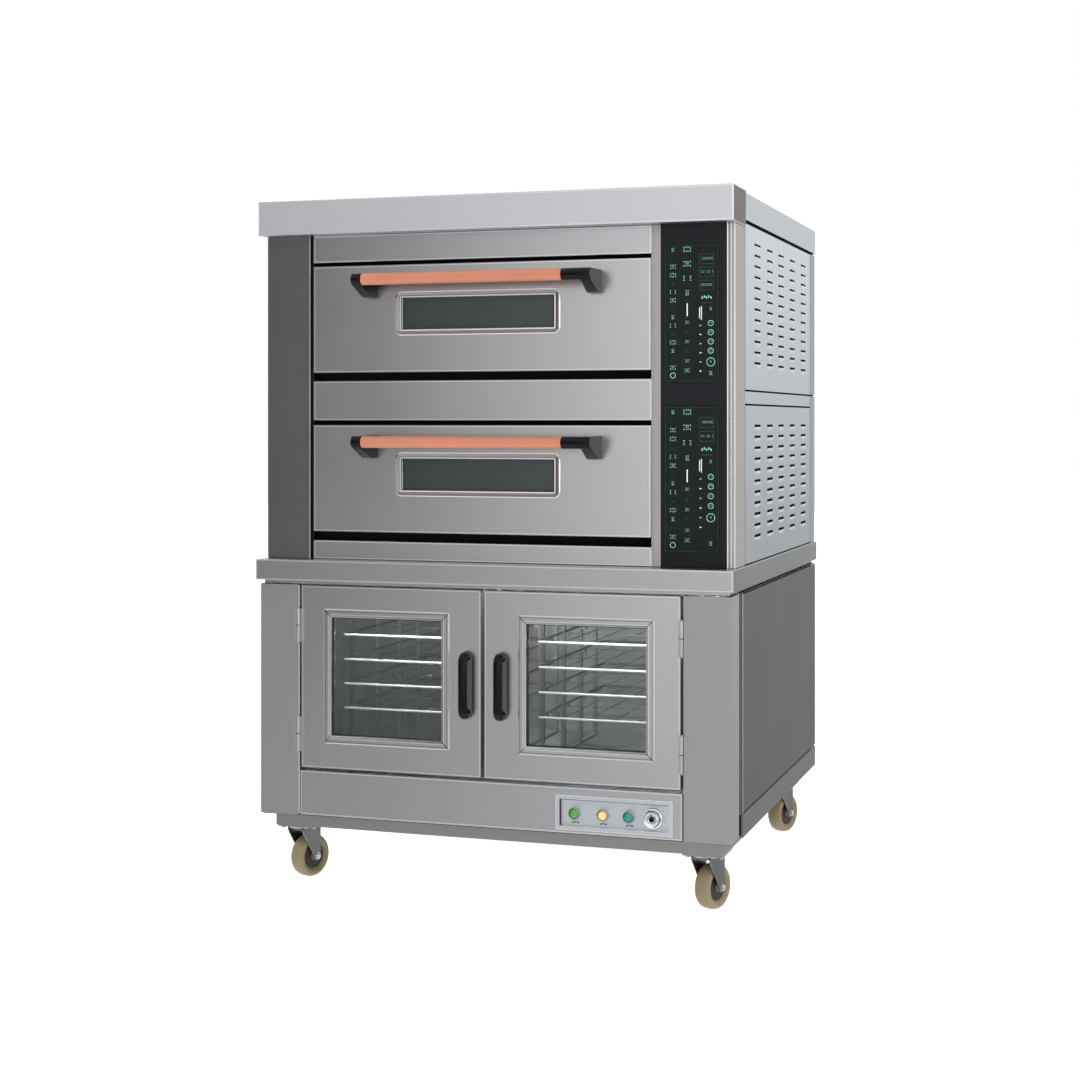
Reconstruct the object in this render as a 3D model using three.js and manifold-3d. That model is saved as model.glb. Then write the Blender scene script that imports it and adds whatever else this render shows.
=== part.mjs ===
// A two-deck electric bakery oven on a two-door proofing cabinet, on four swivel castors.
//
// Millimetres, +Z up. X runs to the right, the front faces -Y. The dimensions below are in cabinet
// coordinates: x = 0 is the middle, y = 0 is the front face of the proofer's posts, z = 0 is the floor.
// The whole group is moved once, at the end, so that its origin is the middle of its footprint.

import * as THREE from 'three';
import { mergeVertices } from 'three/addons/utils/BufferGeometryUtils.js';
import Module from 'manifold-3d';

const wasm = await Module();
wasm.setup();

// ---------- driving dimensions ----------

const GAP = 0.3; // air between pieces that rest on each other
const SHEET = 2; // sheet-metal thickness

const BODY_HALF = 606; // half the width of the oven and of the proofer
const BACK = 1123; // rear face of the panels
const GLAND = { x: -430, z: 940, length: 15, collar: 6, collarRadius: 20, radius: 14, bore: 8 };

// oven heights
const CORNICE_TOP = 1719;
const CORNICE_BOTTOM = 1634;
const ROOF_TOP = 1716;
const ROOF_BOTTOM = 1650;
const OVEN_BOTTOM = 819;
const OVEN_FRONT = 40; // y of the posts' and fascias' face
const CORNICE_HALF = 611;
const CORNICE_FRONT = -4;
const CORNICE_BACK = 134;
const OVEN_POST_BACK = 148;
const ROOF_HALF = BODY_HALF + 2;
const POST_LIP = 75; // how far back the posts' inner edges turn
const SIDE_TURN = 16; // how far the side panels' edges turn in
const BACK_TURN = 18;

// oven front, from left to right
const LEFT_POST_INNER = -490;
const FASCIA_LEFT = -478;
const FASCIA_RIGHT = 403;
const TRIM_LEFT = 405;
const COLUMN_LEFT = 425;
const COLUMN_RIGHT = 585;
const COLUMN_POCKET = 18; // depth of the recess that holds the column
const TOUCH = {
  left: 434, right: 568, radius: 7, thick: 2.5, spans: { upper: [1258, 1585], lower: [855, 1201] },
};
const FASCIA_TURN = 34;
const FASCIA_SPANS = {
  top_fascia: [1565, CORNICE_BOTTOM - GAP],
  middle_fascia: [1168, 1267],
  bottom_fascia: [OVEN_BOTTOM + GAP, 866],
};

// oven doors
const DOOR_LEFT = -476;
const DOOR_RIGHT = 402;
const DOOR_HEIGHT = 267;
const DOOR_BOTTOMS = { upper: 1288, lower: 889 };
const DOOR_FRONT = 35;
const DOOR_BACK = 70;
const HINGE_Y = 52;
const HINGE_RISE = 5; // hinge line above the door's lower edge
const HINGE_PIN_RADIUS = 4;
const WINDOW_LEFT = -238;
const WINDOW_RIGHT = 162;
const WINDOW_RISE = 101; // window's lower edge above the door's
const WINDOW_HEIGHT = 88;
const GLASS_THICK = 5;
const GLASS_PLAY = 0.5;
const OVEN_GLASS_SET = 6; // how far behind the door's face the glass sits
const SKIN = 1.5; // sheet of the hollow doors and of the proofer's walls
const DOOR_RIM = 6; // solid rim round a door's window
const DRAIN = { half: 20, from: 10, to: 18 }; // drain slot in a door's lower edge

// oven door handles
const BAR_Y = -50;
const BAR_RISE = 226; // bar centre above the door's lower edge
const BAR_RADIUS = 14.5;
const CORE_RADIUS = 8;
const GRIP_LEFT = -306.5;
const GRIP_RIGHT = 207;
const HANDLE_LEFT = -332;
const HANDLE_RIGHT = 279;
const ARM_WIDTH = 24;
const ARM_FLARE = 1.3; // the foot is this much wider than the arm at the bar
const HANDLE_FRONT = BAR_Y - BAR_RADIUS;
// the arm's profile: heights from the bar's centre and depths behind the proofer's face
const ARM = { footTop: 16.5, wrap: 247, knee: -37, foot: -40.5, kneeY: 0, heelY: 8, toeY: 26 };

// baking chambers
const CHAMBER = { left: -466, right: 393, front: 76, depth: 860, height: 240, wall: 2 };
const CHAMBER_FLOOR_RISE = 14; // chamber floor above the door's lower edge
const CHAMBER_FLANGE = { thick: 2, below: 22, above: 11 }; // past the door's lower and upper edges

// proofer
const WORKTOP_TOP = 819 - GAP;
const WORKTOP_BOTTOM = 767;
const WORKTOP_HALF = 612.5;
const WORKTOP_FRONT = -15.5;
const NECK_BOTTOM = 757;
const NECK_INSET = 7;
const VENT = { x: [-60, 60], y: [900, 960] }; // steam outlet in the proofer's ceiling
const POST_TOP = NECK_BOTTOM - GAP;
const POST_BOTTOM = 178;
const PROOFER_POST_LEFT = -502; // inner edges of the posts
const PROOFER_POST_RIGHT = 490;
const POST_SIDE_DEPTH = 80;
const POST_STEP = 14;
const SIDE_FRONT = 108.5;
const SIDE_BOTTOM = 228;
const PANEL_THICK = 40; // double-skinned proofer walls
const POST_TURN = 45; // how far back the posts' inner edges turn
const FLOOR = { front: 48, sheet: 3 };
const FASCIA_TOP = 291;
const FASCIA_BOTTOM = 180;

// proofer doors
const PDOOR = { bottom: 299, top: 754.5, thick: 30, windowBottom: 380, windowTop: 679.5, glassSet: 10 };
const PDOORS = {
  left: { x0: -493, x1: -15, windowLeft: -413, windowRight: -115, handleX: -50, hingeX: -500.5 },
  right: { x0: -6, x1: 483, windowLeft: 99, windowRight: 402, handleX: 40, hingeX: 486.5 },
};
const KNUCKLE_RADIUS = 5;
const KNUCKLE_Y = -5.6;
const KNUCKLES = [[340, 427], [614, 697]]; // z spans of the two hinges
const LEAF = { half: 1, reach: 4 };
const PHANDLE = {
  z: 524, height: 166, reach: 42, width: 20, bar: 15, base: 5, corner: 16, taper: 4, end: 22,
};

// racks and shelves
const SHELF_LEVELS = [423, 486, 549, 613];
const SHELF = { inner: 65, outer: 465, front: 180, back: 780, thick: 6, bars: 8, rod: 7 };
const UPRIGHTS = [265, 445, 600, 740];
const UPRIGHT_SIZE = 10;
const UPRIGHT_PLAY = 3; // between a shelf's edge and its uprights
const PIN = { reach: 11, height: 8 }; // the pins that carry a shelf
const RAIL_HEIGHT = 6;
const FLOOR_TOP = 290;
const RACK_TOP = 746;
const SUMP = { half: 200, front: 300, back: 800, bottom: 250, wall: 3 };

// control plate in the lower fascia
const PLATE = { left: 176, right: 465, bottom: 188, top: 272, flange: 10, depth: 6, play: 0.5 };
const LOWER_FASCIA = { left: PROOFER_POST_LEFT + 5, right: PROOFER_POST_RIGHT - 2, turn: 32 };
const CONTROL_Z = 228.5;
const BUTTONS = { green: 224, yellow: 294, teal: 358 };
const BUTTON_RADIUS = 11;
const BUTTON_FRONT = -10;
const COLLAR = { inner: 11.7, outer: 13.5, front: -6 };
const STEM_RADIUS = 6;
const STEM_BACK = 22;
const STEM_CLEARANCE = 1;
const STEM_FRONT = 2;
const KNOB_X = 416;
const BUTTON_PROFILE = [
  [0, BUTTON_FRONT], [6, BUTTON_FRONT + 0.8], [BUTTON_RADIUS - 1, BUTTON_FRONT + 2.6],
  [BUTTON_RADIUS, BUTTON_FRONT + 4], [BUTTON_RADIUS, STEM_FRONT], [STEM_RADIUS, STEM_FRONT],
  [STEM_RADIUS, STEM_BACK], [0, STEM_BACK],
];
const KNOB_PROFILE = [
  [0, -13], [8, -13], [8.5, -17], [15.5, -17], [17, -15.5], [18, -3], [23, -1.5], [24, 0], [24, 4.5],
  [5, 4.5], [5, STEM_BACK], [0, STEM_BACK],
];

// plinth and castors
const PLINTH_HALF = 579;
const PLINTH_FRONT = 33;
const PLINTH_BACK = 1100;
const PLINTH_BOTTOM = 143;
const RAIL = { wall: 2, flange: 60, skirtBottom: 172 };
const DECK = { half: BODY_HALF - 3, front: 5 };
const CASTOR_SEAT = { drop: 5, bossRadius: 30 }; // the plate under the plinth and the boss below it
const CASTOR_X = 528;
const CASTOR_FRONT_Y = 88;
const CASTOR_REAR_Y = 985;
const CASTOR_PLATE = 100;
const CASTOR_TRAIL = 22;
const CASTOR_SWIVEL = THREE.MathUtils.degToRad(-20);
const WHEEL_RADIUS = 54;
const WHEEL_HALF = 21;
const AXLE_RADIUS = 4;
const FORK_TOP = 131.5;
const FORK_GAP = 24.5; // half the space between the legs
const LEG_THICK = 3;
const FORK = { front: -32, back: 34, crown: 4, tip: 12, pinOut: 6, nutOut: 4, nutRadius: 7 };
const WHEEL_BORE = AXLE_RADIUS + 0.6;
const HUB_HALF = 20;
// half the wheel's section: radius and distance from its middle plane
const WHEEL_SECTION = [
  [WHEEL_BORE, HUB_HALF], [12, HUB_HALF], [12, 15], [34, 13], [38, 18], [46, WHEEL_HALF], [51, 15],
  [WHEEL_RADIUS, 6],
];

// ---------- materials ----------

const finish = (color, roughness, metalness) =>
  new THREE.MeshStandardMaterial({ color, roughness, metalness });
const MATERIALS = {
  stainless: finish(0xa6a6a8, 0.34, 1),
  sidePanel: finish(0xb4bac0, 0.45, 0.9),
  liner: finish(0x7c807e, 0.5, 0.9),
  blackPanel: finish(0x26292d, 0.3, 0.1),
  touchPanel: finish(0x181d1d, 0.18, 0.1),
  glass: new THREE.MeshStandardMaterial({
    color: 0x39413f, roughness: 0.06, transparent: true, opacity: 0.4,
  }),
  grip: finish(0xd68062, 0.35, 0.1),
  blackPlastic: finish(0x17181a, 0.4, 0),
  wire: finish(0xd8dada, 0.22, 1),
  zinc: finish(0x77787a, 0.4, 1),
  tyre: finish(0xbead85, 0.5, 0),
  chrome: finish(0xd5d7d9, 0.12, 1),
  green: finish(0x3fa23a, 0.3, 0),
  yellow: finish(0xe8c862, 0.3, 0),
  teal: finish(0x19877d, 0.3, 0),
};

// ---------- geometry helpers ----------

function box(x0, x1, y0, y1, z0, z1) {
  const geometry = new THREE.BoxGeometry(x1 - x0, y1 - y0, z1 - z0);
  return geometry.translate((x0 + x1) / 2, (y0 + y1) / 2, (z0 + z1) / 2);
}

function outline(points) {
  return new THREE.Shape(points.map(([a, b]) => new THREE.Vector2(a, b)));
}

const AXES = {
  x: new THREE.Matrix4().makeBasis(
    new THREE.Vector3(0, 1, 0), new THREE.Vector3(0, 0, 1), new THREE.Vector3(1, 0, 0)),
  y: new THREE.Matrix4().makeBasis(
    new THREE.Vector3(1, 0, 0), new THREE.Vector3(0, 0, 1), new THREE.Vector3(0, -1, 0)),
  z: new THREE.Matrix4(),
};

// Extrudes a shape along an axis, from `from` to `to`. The shape's own coordinates are (y, z) along x,
// (x, z) along y and (x, y) along z.
function extrude(shape, axis, from, to, curveSegments = 6) {
  const settings = { depth: to - from, bevelEnabled: false, curveSegments };
  const geometry = new THREE.ExtrudeGeometry(shape, settings).applyMatrix4(AXES[axis]);
  const start = axis === 'y' ? to : from;
  const offset = { x: 0, y: 0, z: 0, [axis]: start };
  return geometry.translate(offset.x, offset.y, offset.z);
}

// A round bar along an axis; a and b are its centre in the two other coordinates, in order.
function rod(axis, a, b, from, to, radius, sides = 16) {
  const circle = new THREE.Shape();
  circle.absarc(a, b, radius, 0, Math.PI * 2, false);
  return extrude(circle, axis, from, to, sides);
}

function toSolid(geometry) {
  const bare = geometry.clone();
  bare.deleteAttribute('normal');
  bare.deleteAttribute('uv');
  const merged = mergeVertices(bare, 1e-4);
  return new wasm.Manifold(new wasm.Mesh({
    numProp: 3,
    vertProperties: new Float32Array(merged.attributes.position.array),
    triVerts: new Uint32Array(merged.index.array),
  }));
}

function toGeometry(solid) {
  const mesh = solid.getMesh();
  const geometry = new THREE.BufferGeometry();
  geometry.setAttribute('position', new THREE.BufferAttribute(mesh.vertProperties, 3));
  geometry.setIndex(new THREE.BufferAttribute(mesh.triVerts, 1));
  geometry.computeVertexNormals();
  return geometry;
}

// Joins `adds`, then cuts `cuts` out of them.
function combine(adds, cuts = []) {
  let solid = toSolid(adds[0]);
  for (const geometry of adds.slice(1)) {
    solid = solid.add(toSolid(geometry));
  }
  for (const geometry of cuts) {
    solid = solid.subtract(toSolid(geometry));
  }
  return toGeometry(solid);
}

const cabinet = new THREE.Group();

function part(name, geometry, material, parent = cabinet) {
  const mesh = new THREE.Mesh(geometry, material);
  mesh.name = name;
  parent.add(mesh);
  return mesh;
}

// A C-shaped sheet panel in a plane: the face is at `face`, and the edges turn back by `turn`.
function channel(face, turn, from, to) {
  const inner = face + Math.sign(turn) * SHEET;
  return [
    [face + turn, from], [face, from], [face, to], [face + turn, to],
    [face + turn, to - SHEET], [inner, to - SHEET], [inner, from + SHEET], [face + turn, from + SHEET],
  ];
}

const flip = (points) => points.map(([a, b]) => [b, a]);
const mirror = (points) => points.map(([a, b]) => [-a, b]);

// ---------- oven casing ----------

function addOvenCasing() {
  const cornice = combine(
    [box(-CORNICE_HALF, CORNICE_HALF, CORNICE_FRONT, CORNICE_BACK, CORNICE_BOTTOM, CORNICE_TOP)],
    [box(-CORNICE_HALF + SHEET, CORNICE_HALF - SHEET, CORNICE_FRONT + SHEET, CORNICE_BACK + 1,
      CORNICE_BOTTOM + SHEET, CORNICE_TOP - SHEET)],
  );
  part('front_cornice', cornice, MATERIALS.stainless);

  const roofFront = CORNICE_BACK + GAP;
  const roof = combine(
    [box(-ROOF_HALF, ROOF_HALF, roofFront, BACK, ROOF_BOTTOM, ROOF_TOP)],
    [box(-ROOF_HALF + SHEET, ROOF_HALF - SHEET, roofFront - 1, BACK - SHEET,
      ROOF_BOTTOM - 1, ROOF_TOP - SHEET)],
  );
  part('roof_cover', roof, MATERIALS.sidePanel);

  const postBottom = OVEN_BOTTOM + GAP;
  const postTop = CORNICE_BOTTOM - GAP;
  const leftPost = outline([
    [-BODY_HALF, OVEN_POST_BACK], [-BODY_HALF, OVEN_FRONT], [LEFT_POST_INNER, OVEN_FRONT],
    [LEFT_POST_INNER, POST_LIP], [LEFT_POST_INNER - SHEET, POST_LIP],
    [LEFT_POST_INNER - SHEET, OVEN_FRONT + SHEET],
    [-BODY_HALF + SHEET, OVEN_FRONT + SHEET], [-BODY_HALF + SHEET, OVEN_POST_BACK],
  ]);
  part('oven_left_post', extrude(leftPost, 'z', postBottom, postTop), MATERIALS.stainless);

  const pocket = OVEN_FRONT + COLUMN_POCKET;
  const front = OVEN_FRONT + SHEET;
  const rightPost = outline([
    [TRIM_LEFT, POST_LIP], [TRIM_LEFT, OVEN_FRONT], [COLUMN_LEFT, OVEN_FRONT], [COLUMN_LEFT, pocket],
    [COLUMN_RIGHT, pocket], [COLUMN_RIGHT, OVEN_FRONT], [BODY_HALF, OVEN_FRONT],
    [BODY_HALF, OVEN_POST_BACK], [BODY_HALF - SHEET, OVEN_POST_BACK], [BODY_HALF - SHEET, front],
    [COLUMN_RIGHT + SHEET, front], [COLUMN_RIGHT + SHEET, pocket + SHEET],
    [COLUMN_LEFT - SHEET, pocket + SHEET], [COLUMN_LEFT - SHEET, front], [TRIM_LEFT + SHEET, front],
    [TRIM_LEFT + SHEET, POST_LIP],
  ]);
  part('oven_right_post', extrude(rightPost, 'z', postBottom, postTop), MATERIALS.stainless);

  const column = flip(channel(OVEN_FRONT, COLUMN_POCKET - GAP, COLUMN_LEFT + GAP, COLUMN_RIGHT - GAP));
  part('control_column', extrude(outline(column), 'z', postBottom, postTop), MATERIALS.blackPanel);

  const sideFront = OVEN_POST_BACK + GAP;
  const sideTop = ROOF_BOTTOM - GAP;
  const side = channel(BODY_HALF, -SIDE_TURN, sideFront, BACK);
  part('oven_side_right', extrude(outline(side), 'z', postBottom, sideTop), MATERIALS.sidePanel);
  part('oven_side_left', extrude(outline(mirror(side)), 'z', postBottom, sideTop), MATERIALS.sidePanel);

  const backHalf = BODY_HALF - SIDE_TURN - GAP;
  const gland = (from, to, radius) => rod('y', GLAND.x, GLAND.z, BACK + from, BACK + to, radius, 12);
  const back = combine([
    extrude(outline(channel(BACK, -BACK_TURN, postBottom, sideTop)), 'x', -backHalf, backHalf),
    gland(-1, GLAND.collar, GLAND.collarRadius),
    gland(GLAND.collar - 1, GLAND.length, GLAND.radius),
  ], [gland(-SHEET - 2, GLAND.length + 1, GLAND.bore)]);
  part('oven_back', back, MATERIALS.sidePanel);
}

function roundedRect(x0, x1, z0, z1, radius) {
  const shape = new THREE.Shape();
  shape.moveTo(x0 + radius, z0);
  shape.lineTo(x1 - radius, z0);
  shape.absarc(x1 - radius, z0 + radius, radius, -Math.PI / 2, 0, false);
  shape.lineTo(x1, z1 - radius);
  shape.absarc(x1 - radius, z1 - radius, radius, 0, Math.PI / 2, false);
  shape.lineTo(x0 + radius, z1);
  shape.absarc(x0 + radius, z1 - radius, radius, Math.PI / 2, Math.PI, false);
  shape.lineTo(x0, z0 + radius);
  shape.absarc(x0 + radius, z0 + radius, radius, Math.PI, Math.PI * 1.5, false);
  return shape;
}

function addControlPanels() {
  const back = OVEN_FRONT - GAP;
  for (const [deck, [bottom, top]] of Object.entries(TOUCH.spans)) {
    const face = roundedRect(TOUCH.left, TOUCH.right, bottom, top, TOUCH.radius);
    part(`touch_panel_${deck}`, extrude(face, 'y', OVEN_FRONT - TOUCH.thick, back, 3), MATERIALS.touchPanel);
  }
}

function addFascias() {
  for (const [name, [bottom, top]] of Object.entries(FASCIA_SPANS)) {
    const section = outline(channel(OVEN_FRONT, FASCIA_TURN, bottom, top));
    part(name, extrude(section, 'x', FASCIA_LEFT, FASCIA_RIGHT), MATERIALS.stainless);
  }
}

function addChamber(deck) {
  const { left, right, front, depth, height, wall } = CHAMBER;
  const floor = DOOR_BOTTOMS[deck] + CHAMBER_FLOOR_RISE;
  const back = front + depth;
  const flangeBottom = DOOR_BOTTOMS[deck] - CHAMBER_FLANGE.below;
  const flangeTop = DOOR_BOTTOMS[deck] + DOOR_HEIGHT + CHAMBER_FLANGE.above;
  const chamber = combine([
    box(left - wall, right + wall, front, back + wall, floor - wall, floor + height + wall),
    box(LEFT_POST_INNER + 1, TRIM_LEFT - 1, front, front + CHAMBER_FLANGE.thick, flangeBottom, flangeTop),
  ], [box(left, right, front - 1, back, floor, floor + height)]);
  part(`chamber_${deck}`, chamber, MATERIALS.liner);
}

// ---------- doors ----------

// A door made of two skins: a hollow box with a framed hole for the window, drained through its lower edge.
function hollowDoor({ x0, x1, y0, y1, z0, z1, window }, extras = []) {
  const [wx0, wx1, wz0, wz1] = window;
  const shell = box(x0, x1, y0, y1, z0, z1);
  const cavity = combine(
    [box(x0 + SKIN, x1 - SKIN, y0 + SKIN, y1 - SKIN, z0 + SKIN, z1 - SKIN)],
    [box(wx0 - DOOR_RIM, wx1 + DOOR_RIM, y0, y1, wz0 - DOOR_RIM, wz1 + DOOR_RIM)],
  );
  const middle = (x0 + x1) / 2;
  const drain = box(middle - DRAIN.half, middle + DRAIN.half, y0 + DRAIN.from, y0 + DRAIN.to,
    z0 - 1, z0 + SKIN + 1);
  const hole = box(wx0, wx1, y0 - 1, y1 + 1, wz0, wz1);
  return combine([shell, ...extras], [cavity, drain, hole]);
}

function addWindow(name, [x0, x1, z0, z1], y) {
  const pane = box(x0 + GLASS_PLAY, x1 - GLASS_PLAY, y, y + GLASS_THICK, z0 + GLASS_PLAY, z1 - GLASS_PLAY);
  part(name, pane, MATERIALS.glass);
}

// One handle arm: round at the bar, running back to a tall flat foot on the door. The face at `fixed`
// stays plane, and the other face flares towards the foot.
function handleArm(barZ, fixed, direction) {
  const foot = DOOR_FRONT - GAP;
  const shape = new THREE.Shape();
  shape.moveTo(foot, barZ + ARM.footTop);
  shape.lineTo(BAR_Y, barZ + BAR_RADIUS);
  shape.absarc(BAR_Y, barZ, BAR_RADIUS, Math.PI / 2, THREE.MathUtils.degToRad(ARM.wrap), false);
  shape.lineTo(ARM.kneeY, barZ + ARM.knee);
  shape.lineTo(ARM.heelY, barZ + ARM.foot);
  shape.lineTo(ARM.toeY, barZ + ARM.foot);
  shape.lineTo(foot, barZ + ARM.knee);
  const arm = extrude(shape, 'x', 0, ARM_WIDTH, 6);
  const position = arm.attributes.position;
  for (let i = 0; i < position.count; i += 1) {
    const reach = THREE.MathUtils.clamp((position.getY(i) - BAR_Y) / (foot - BAR_Y), 0, 1);
    const width = position.getX(i) * THREE.MathUtils.lerp(1, ARM_FLARE, reach);
    position.setX(i, width);
  }
  if (direction < 0) {
    arm.scale(-1, 1, 1);
    reverseFaces(arm);
  }
  return arm.translate(fixed, 0, 0);
}

function reverseFaces(geometry) {
  const position = geometry.attributes.position;
  const a = new THREE.Vector3();
  const c = new THREE.Vector3();
  for (let i = 0; i < position.count; i += 3) {
    a.fromBufferAttribute(position, i);
    c.fromBufferAttribute(position, i + 2);
    position.setXYZ(i, c.x, c.y, c.z);
    position.setXYZ(i + 2, a.x, a.y, a.z);
  }
}

function addOvenDoor(deck) {
  const bottom = DOOR_BOTTOMS[deck];
  const hingeZ = bottom + HINGE_RISE;
  const windowBottom = bottom + WINDOW_RISE;
  const window = [WINDOW_LEFT, WINDOW_RIGHT, windowBottom, windowBottom + WINDOW_HEIGHT];
  const pins = [
    rod('x', HINGE_Y, hingeZ, LEFT_POST_INNER + 2, DOOR_LEFT + 1, HINGE_PIN_RADIUS, 5),
    rod('x', HINGE_Y, hingeZ, DOOR_RIGHT - 1, TRIM_LEFT - 1, HINGE_PIN_RADIUS, 5),
  ];
  const size = {
    x0: DOOR_LEFT, x1: DOOR_RIGHT, y0: DOOR_FRONT, y1: DOOR_BACK, z0: bottom, z1: bottom + DOOR_HEIGHT,
  };
  part(`${deck}_door_shell`, hollowDoor({ ...size, window }, pins), MATERIALS.stainless);
  addWindow(`${deck}_door_glass`, window, DOOR_FRONT + OVEN_GLASS_SET);

  const barZ = bottom + BAR_RISE;
  const frame = combine([
    handleArm(barZ, HANDLE_LEFT, 1),
    handleArm(barZ, HANDLE_RIGHT, -1),
    rod('x', BAR_Y, barZ, HANDLE_LEFT + 2, HANDLE_RIGHT - 2, CORE_RADIUS, 5),
    rod('x', BAR_Y, barZ, GRIP_RIGHT + GAP, HANDLE_RIGHT - 1, BAR_RADIUS, 10),
  ]);
  part(`${deck}_handle_frame`, frame, MATERIALS.blackPlastic);

  const grip = new THREE.Shape();
  grip.absarc(BAR_Y, barZ, BAR_RADIUS, 0, Math.PI * 2, false);
  const bore = new THREE.Path();
  bore.absarc(BAR_Y, barZ, CORE_RADIUS + GAP, 0, Math.PI * 2, true);
  grip.holes.push(bore);
  part(`${deck}_handle_grip`, extrude(grip, 'x', GRIP_LEFT + GAP, GRIP_RIGHT, 10), MATERIALS.grip);
}

function addProoferDoor(side) {
  const { x0, x1, windowLeft, windowRight, handleX, hingeX } = PDOORS[side];
  const window = [windowLeft, windowRight, PDOOR.windowBottom, PDOOR.windowTop];
  const edge = side === 'left' ? x0 : x1;
  const inward = side === 'left' ? 1 : -1;
  const knuckles = KNUCKLES.flatMap(([bottom, top]) => {
    const leafFar = edge + inward * LEAF.reach;
    const front = KNUCKLE_Y - LEAF.half;
    return [
      rod('z', hingeX, KNUCKLE_Y, bottom, top, KNUCKLE_RADIUS, 5),
      box(Math.min(hingeX, leafFar), Math.max(hingeX, leafFar), front, KNUCKLE_Y + LEAF.half, bottom, top),
      box(Math.min(edge, leafFar), Math.max(edge, leafFar), front, 1, bottom, top),
    ];
  });
  const size = { x0, x1, y0: 0, y1: PDOOR.thick, z0: PDOOR.bottom, z1: PDOOR.top };
  part(`proofer_${side}_door_shell`, hollowDoor({ ...size, window }, knuckles), MATERIALS.stainless);
  addWindow(`proofer_${side}_door_glass`, window, PDOOR.glassSet);

  const { z, height, reach, width, bar, base, corner, taper, end } = PHANDLE;
  const half = height / 2;
  const tip = half - taper;
  const grip = new THREE.Shape();
  grip.moveTo(-GAP, z - half);
  grip.lineTo(-GAP, z + half);
  grip.lineTo(-reach + corner, z + tip);
  grip.quadraticCurveTo(-reach, z + tip, -reach, z + tip - corner);
  grip.lineTo(-reach, z - tip + corner);
  grip.quadraticCurveTo(-reach, z - tip, -reach + corner, z - tip);
  const hole = new THREE.Path();
  const inner = half - end;
  hole.moveTo(-base, z - inner);
  hole.lineTo(-reach + bar, z - inner + taper);
  hole.lineTo(-reach + bar, z + inner - taper);
  hole.lineTo(-base, z + inner);
  grip.holes.push(hole);
  const handle = extrude(grip, 'x', handleX - width / 2, handleX + width / 2, 4);
  part(`proofer_${side}_door_handle`, handle, MATERIALS.blackPlastic);
}

// ---------- proofer casing ----------

function addProoferCasing() {
  const neckHalf = BODY_HALF - NECK_INSET;
  const worktop = combine([
    box(-WORKTOP_HALF, WORKTOP_HALF, WORKTOP_FRONT, BACK, WORKTOP_BOTTOM, WORKTOP_TOP),
    box(-neckHalf, neckHalf, NECK_INSET, BACK - NECK_INSET, NECK_BOTTOM, WORKTOP_BOTTOM + 1),
  ], [
    box(-WORKTOP_HALF + SHEET, WORKTOP_HALF - SHEET, WORKTOP_FRONT + SHEET, BACK - SHEET,
      WORKTOP_BOTTOM + SHEET, WORKTOP_TOP - SHEET),
    box(-neckHalf + SHEET, neckHalf - SHEET, NECK_INSET + SHEET, BACK - NECK_INSET - SHEET,
      NECK_BOTTOM + SHEET, WORKTOP_BOTTOM + SHEET + 1),
    box(...VENT.x, ...VENT.y, NECK_BOTTOM - 1, WORKTOP_BOTTOM + SHEET + 1),
  ]);
  part('worktop', worktop, MATERIALS.stainless);

  const post = (inner) => [
    [BODY_HALF, 0], [inner, 0], [inner, POST_TURN], [inner + SHEET, POST_TURN], [inner + SHEET, SHEET],
    [BODY_HALF - SHEET, SHEET], [BODY_HALF - SHEET, POST_SIDE_DEPTH - SHEET],
    [BODY_HALF - POST_STEP - SHEET, POST_SIDE_DEPTH - SHEET],
    [BODY_HALF - POST_STEP - SHEET, SIDE_FRONT - GAP], [BODY_HALF - POST_STEP, SIDE_FRONT - GAP],
    [BODY_HALF - POST_STEP, POST_SIDE_DEPTH],
    [BODY_HALF, POST_SIDE_DEPTH],
  ];
  const rightPost = outline(post(PROOFER_POST_RIGHT));
  const leftPost = outline(mirror(post(-PROOFER_POST_LEFT)));
  part('proofer_right_post', extrude(rightPost, 'z', POST_BOTTOM, POST_TOP), MATERIALS.stainless);
  part('proofer_left_post', extrude(leftPost, 'z', POST_BOTTOM, POST_TOP), MATERIALS.stainless);

  part('proofer_walls', insulatedWalls(), MATERIALS.sidePanel);

  const innerHalf = BODY_HALF - PANEL_THICK;
  const { half, front, back: sumpBack, bottom, wall } = SUMP;
  const floor = combine([
    box(-innerHalf + GAP, innerHalf - GAP, FLOOR.front, BACK - PANEL_THICK - GAP,
      FLOOR_TOP - FLOOR.sheet, FLOOR_TOP),
    box(-half - wall, half + wall, front - wall, sumpBack + wall, bottom - wall, FLOOR_TOP - 1),
  ], [box(-half, half, front, sumpBack, bottom, FLOOR_TOP + 1)]);
  part('proofer_floor', floor, MATERIALS.liner);
}

// The proofer's insulated body: its two sides and back, as two skins joined along their edges and open at
// the top and bottom.
function insulatedWalls() {
  const across = (inset) => {
    const outer = BODY_HALF - inset;
    const inner = BODY_HALF - PANEL_THICK + inset;
    const front = SIDE_FRONT + inset;
    const outerBack = BACK - inset;
    const innerBack = BACK - PANEL_THICK + inset;
    return [
      [outer, front], [outer, outerBack], [-outer, outerBack], [-outer, front],
      [-inner, front], [-inner, innerBack], [inner, innerBack], [inner, front],
    ];
  };
  const wall = outline(across(0));
  const hollow = across(SKIN);
  wall.holes.push(new THREE.Path(hollow.map(([x, y]) => new THREE.Vector2(x, y))));
  return extrude(wall, 'z', SIDE_BOTTOM, POST_TOP);
}

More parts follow.
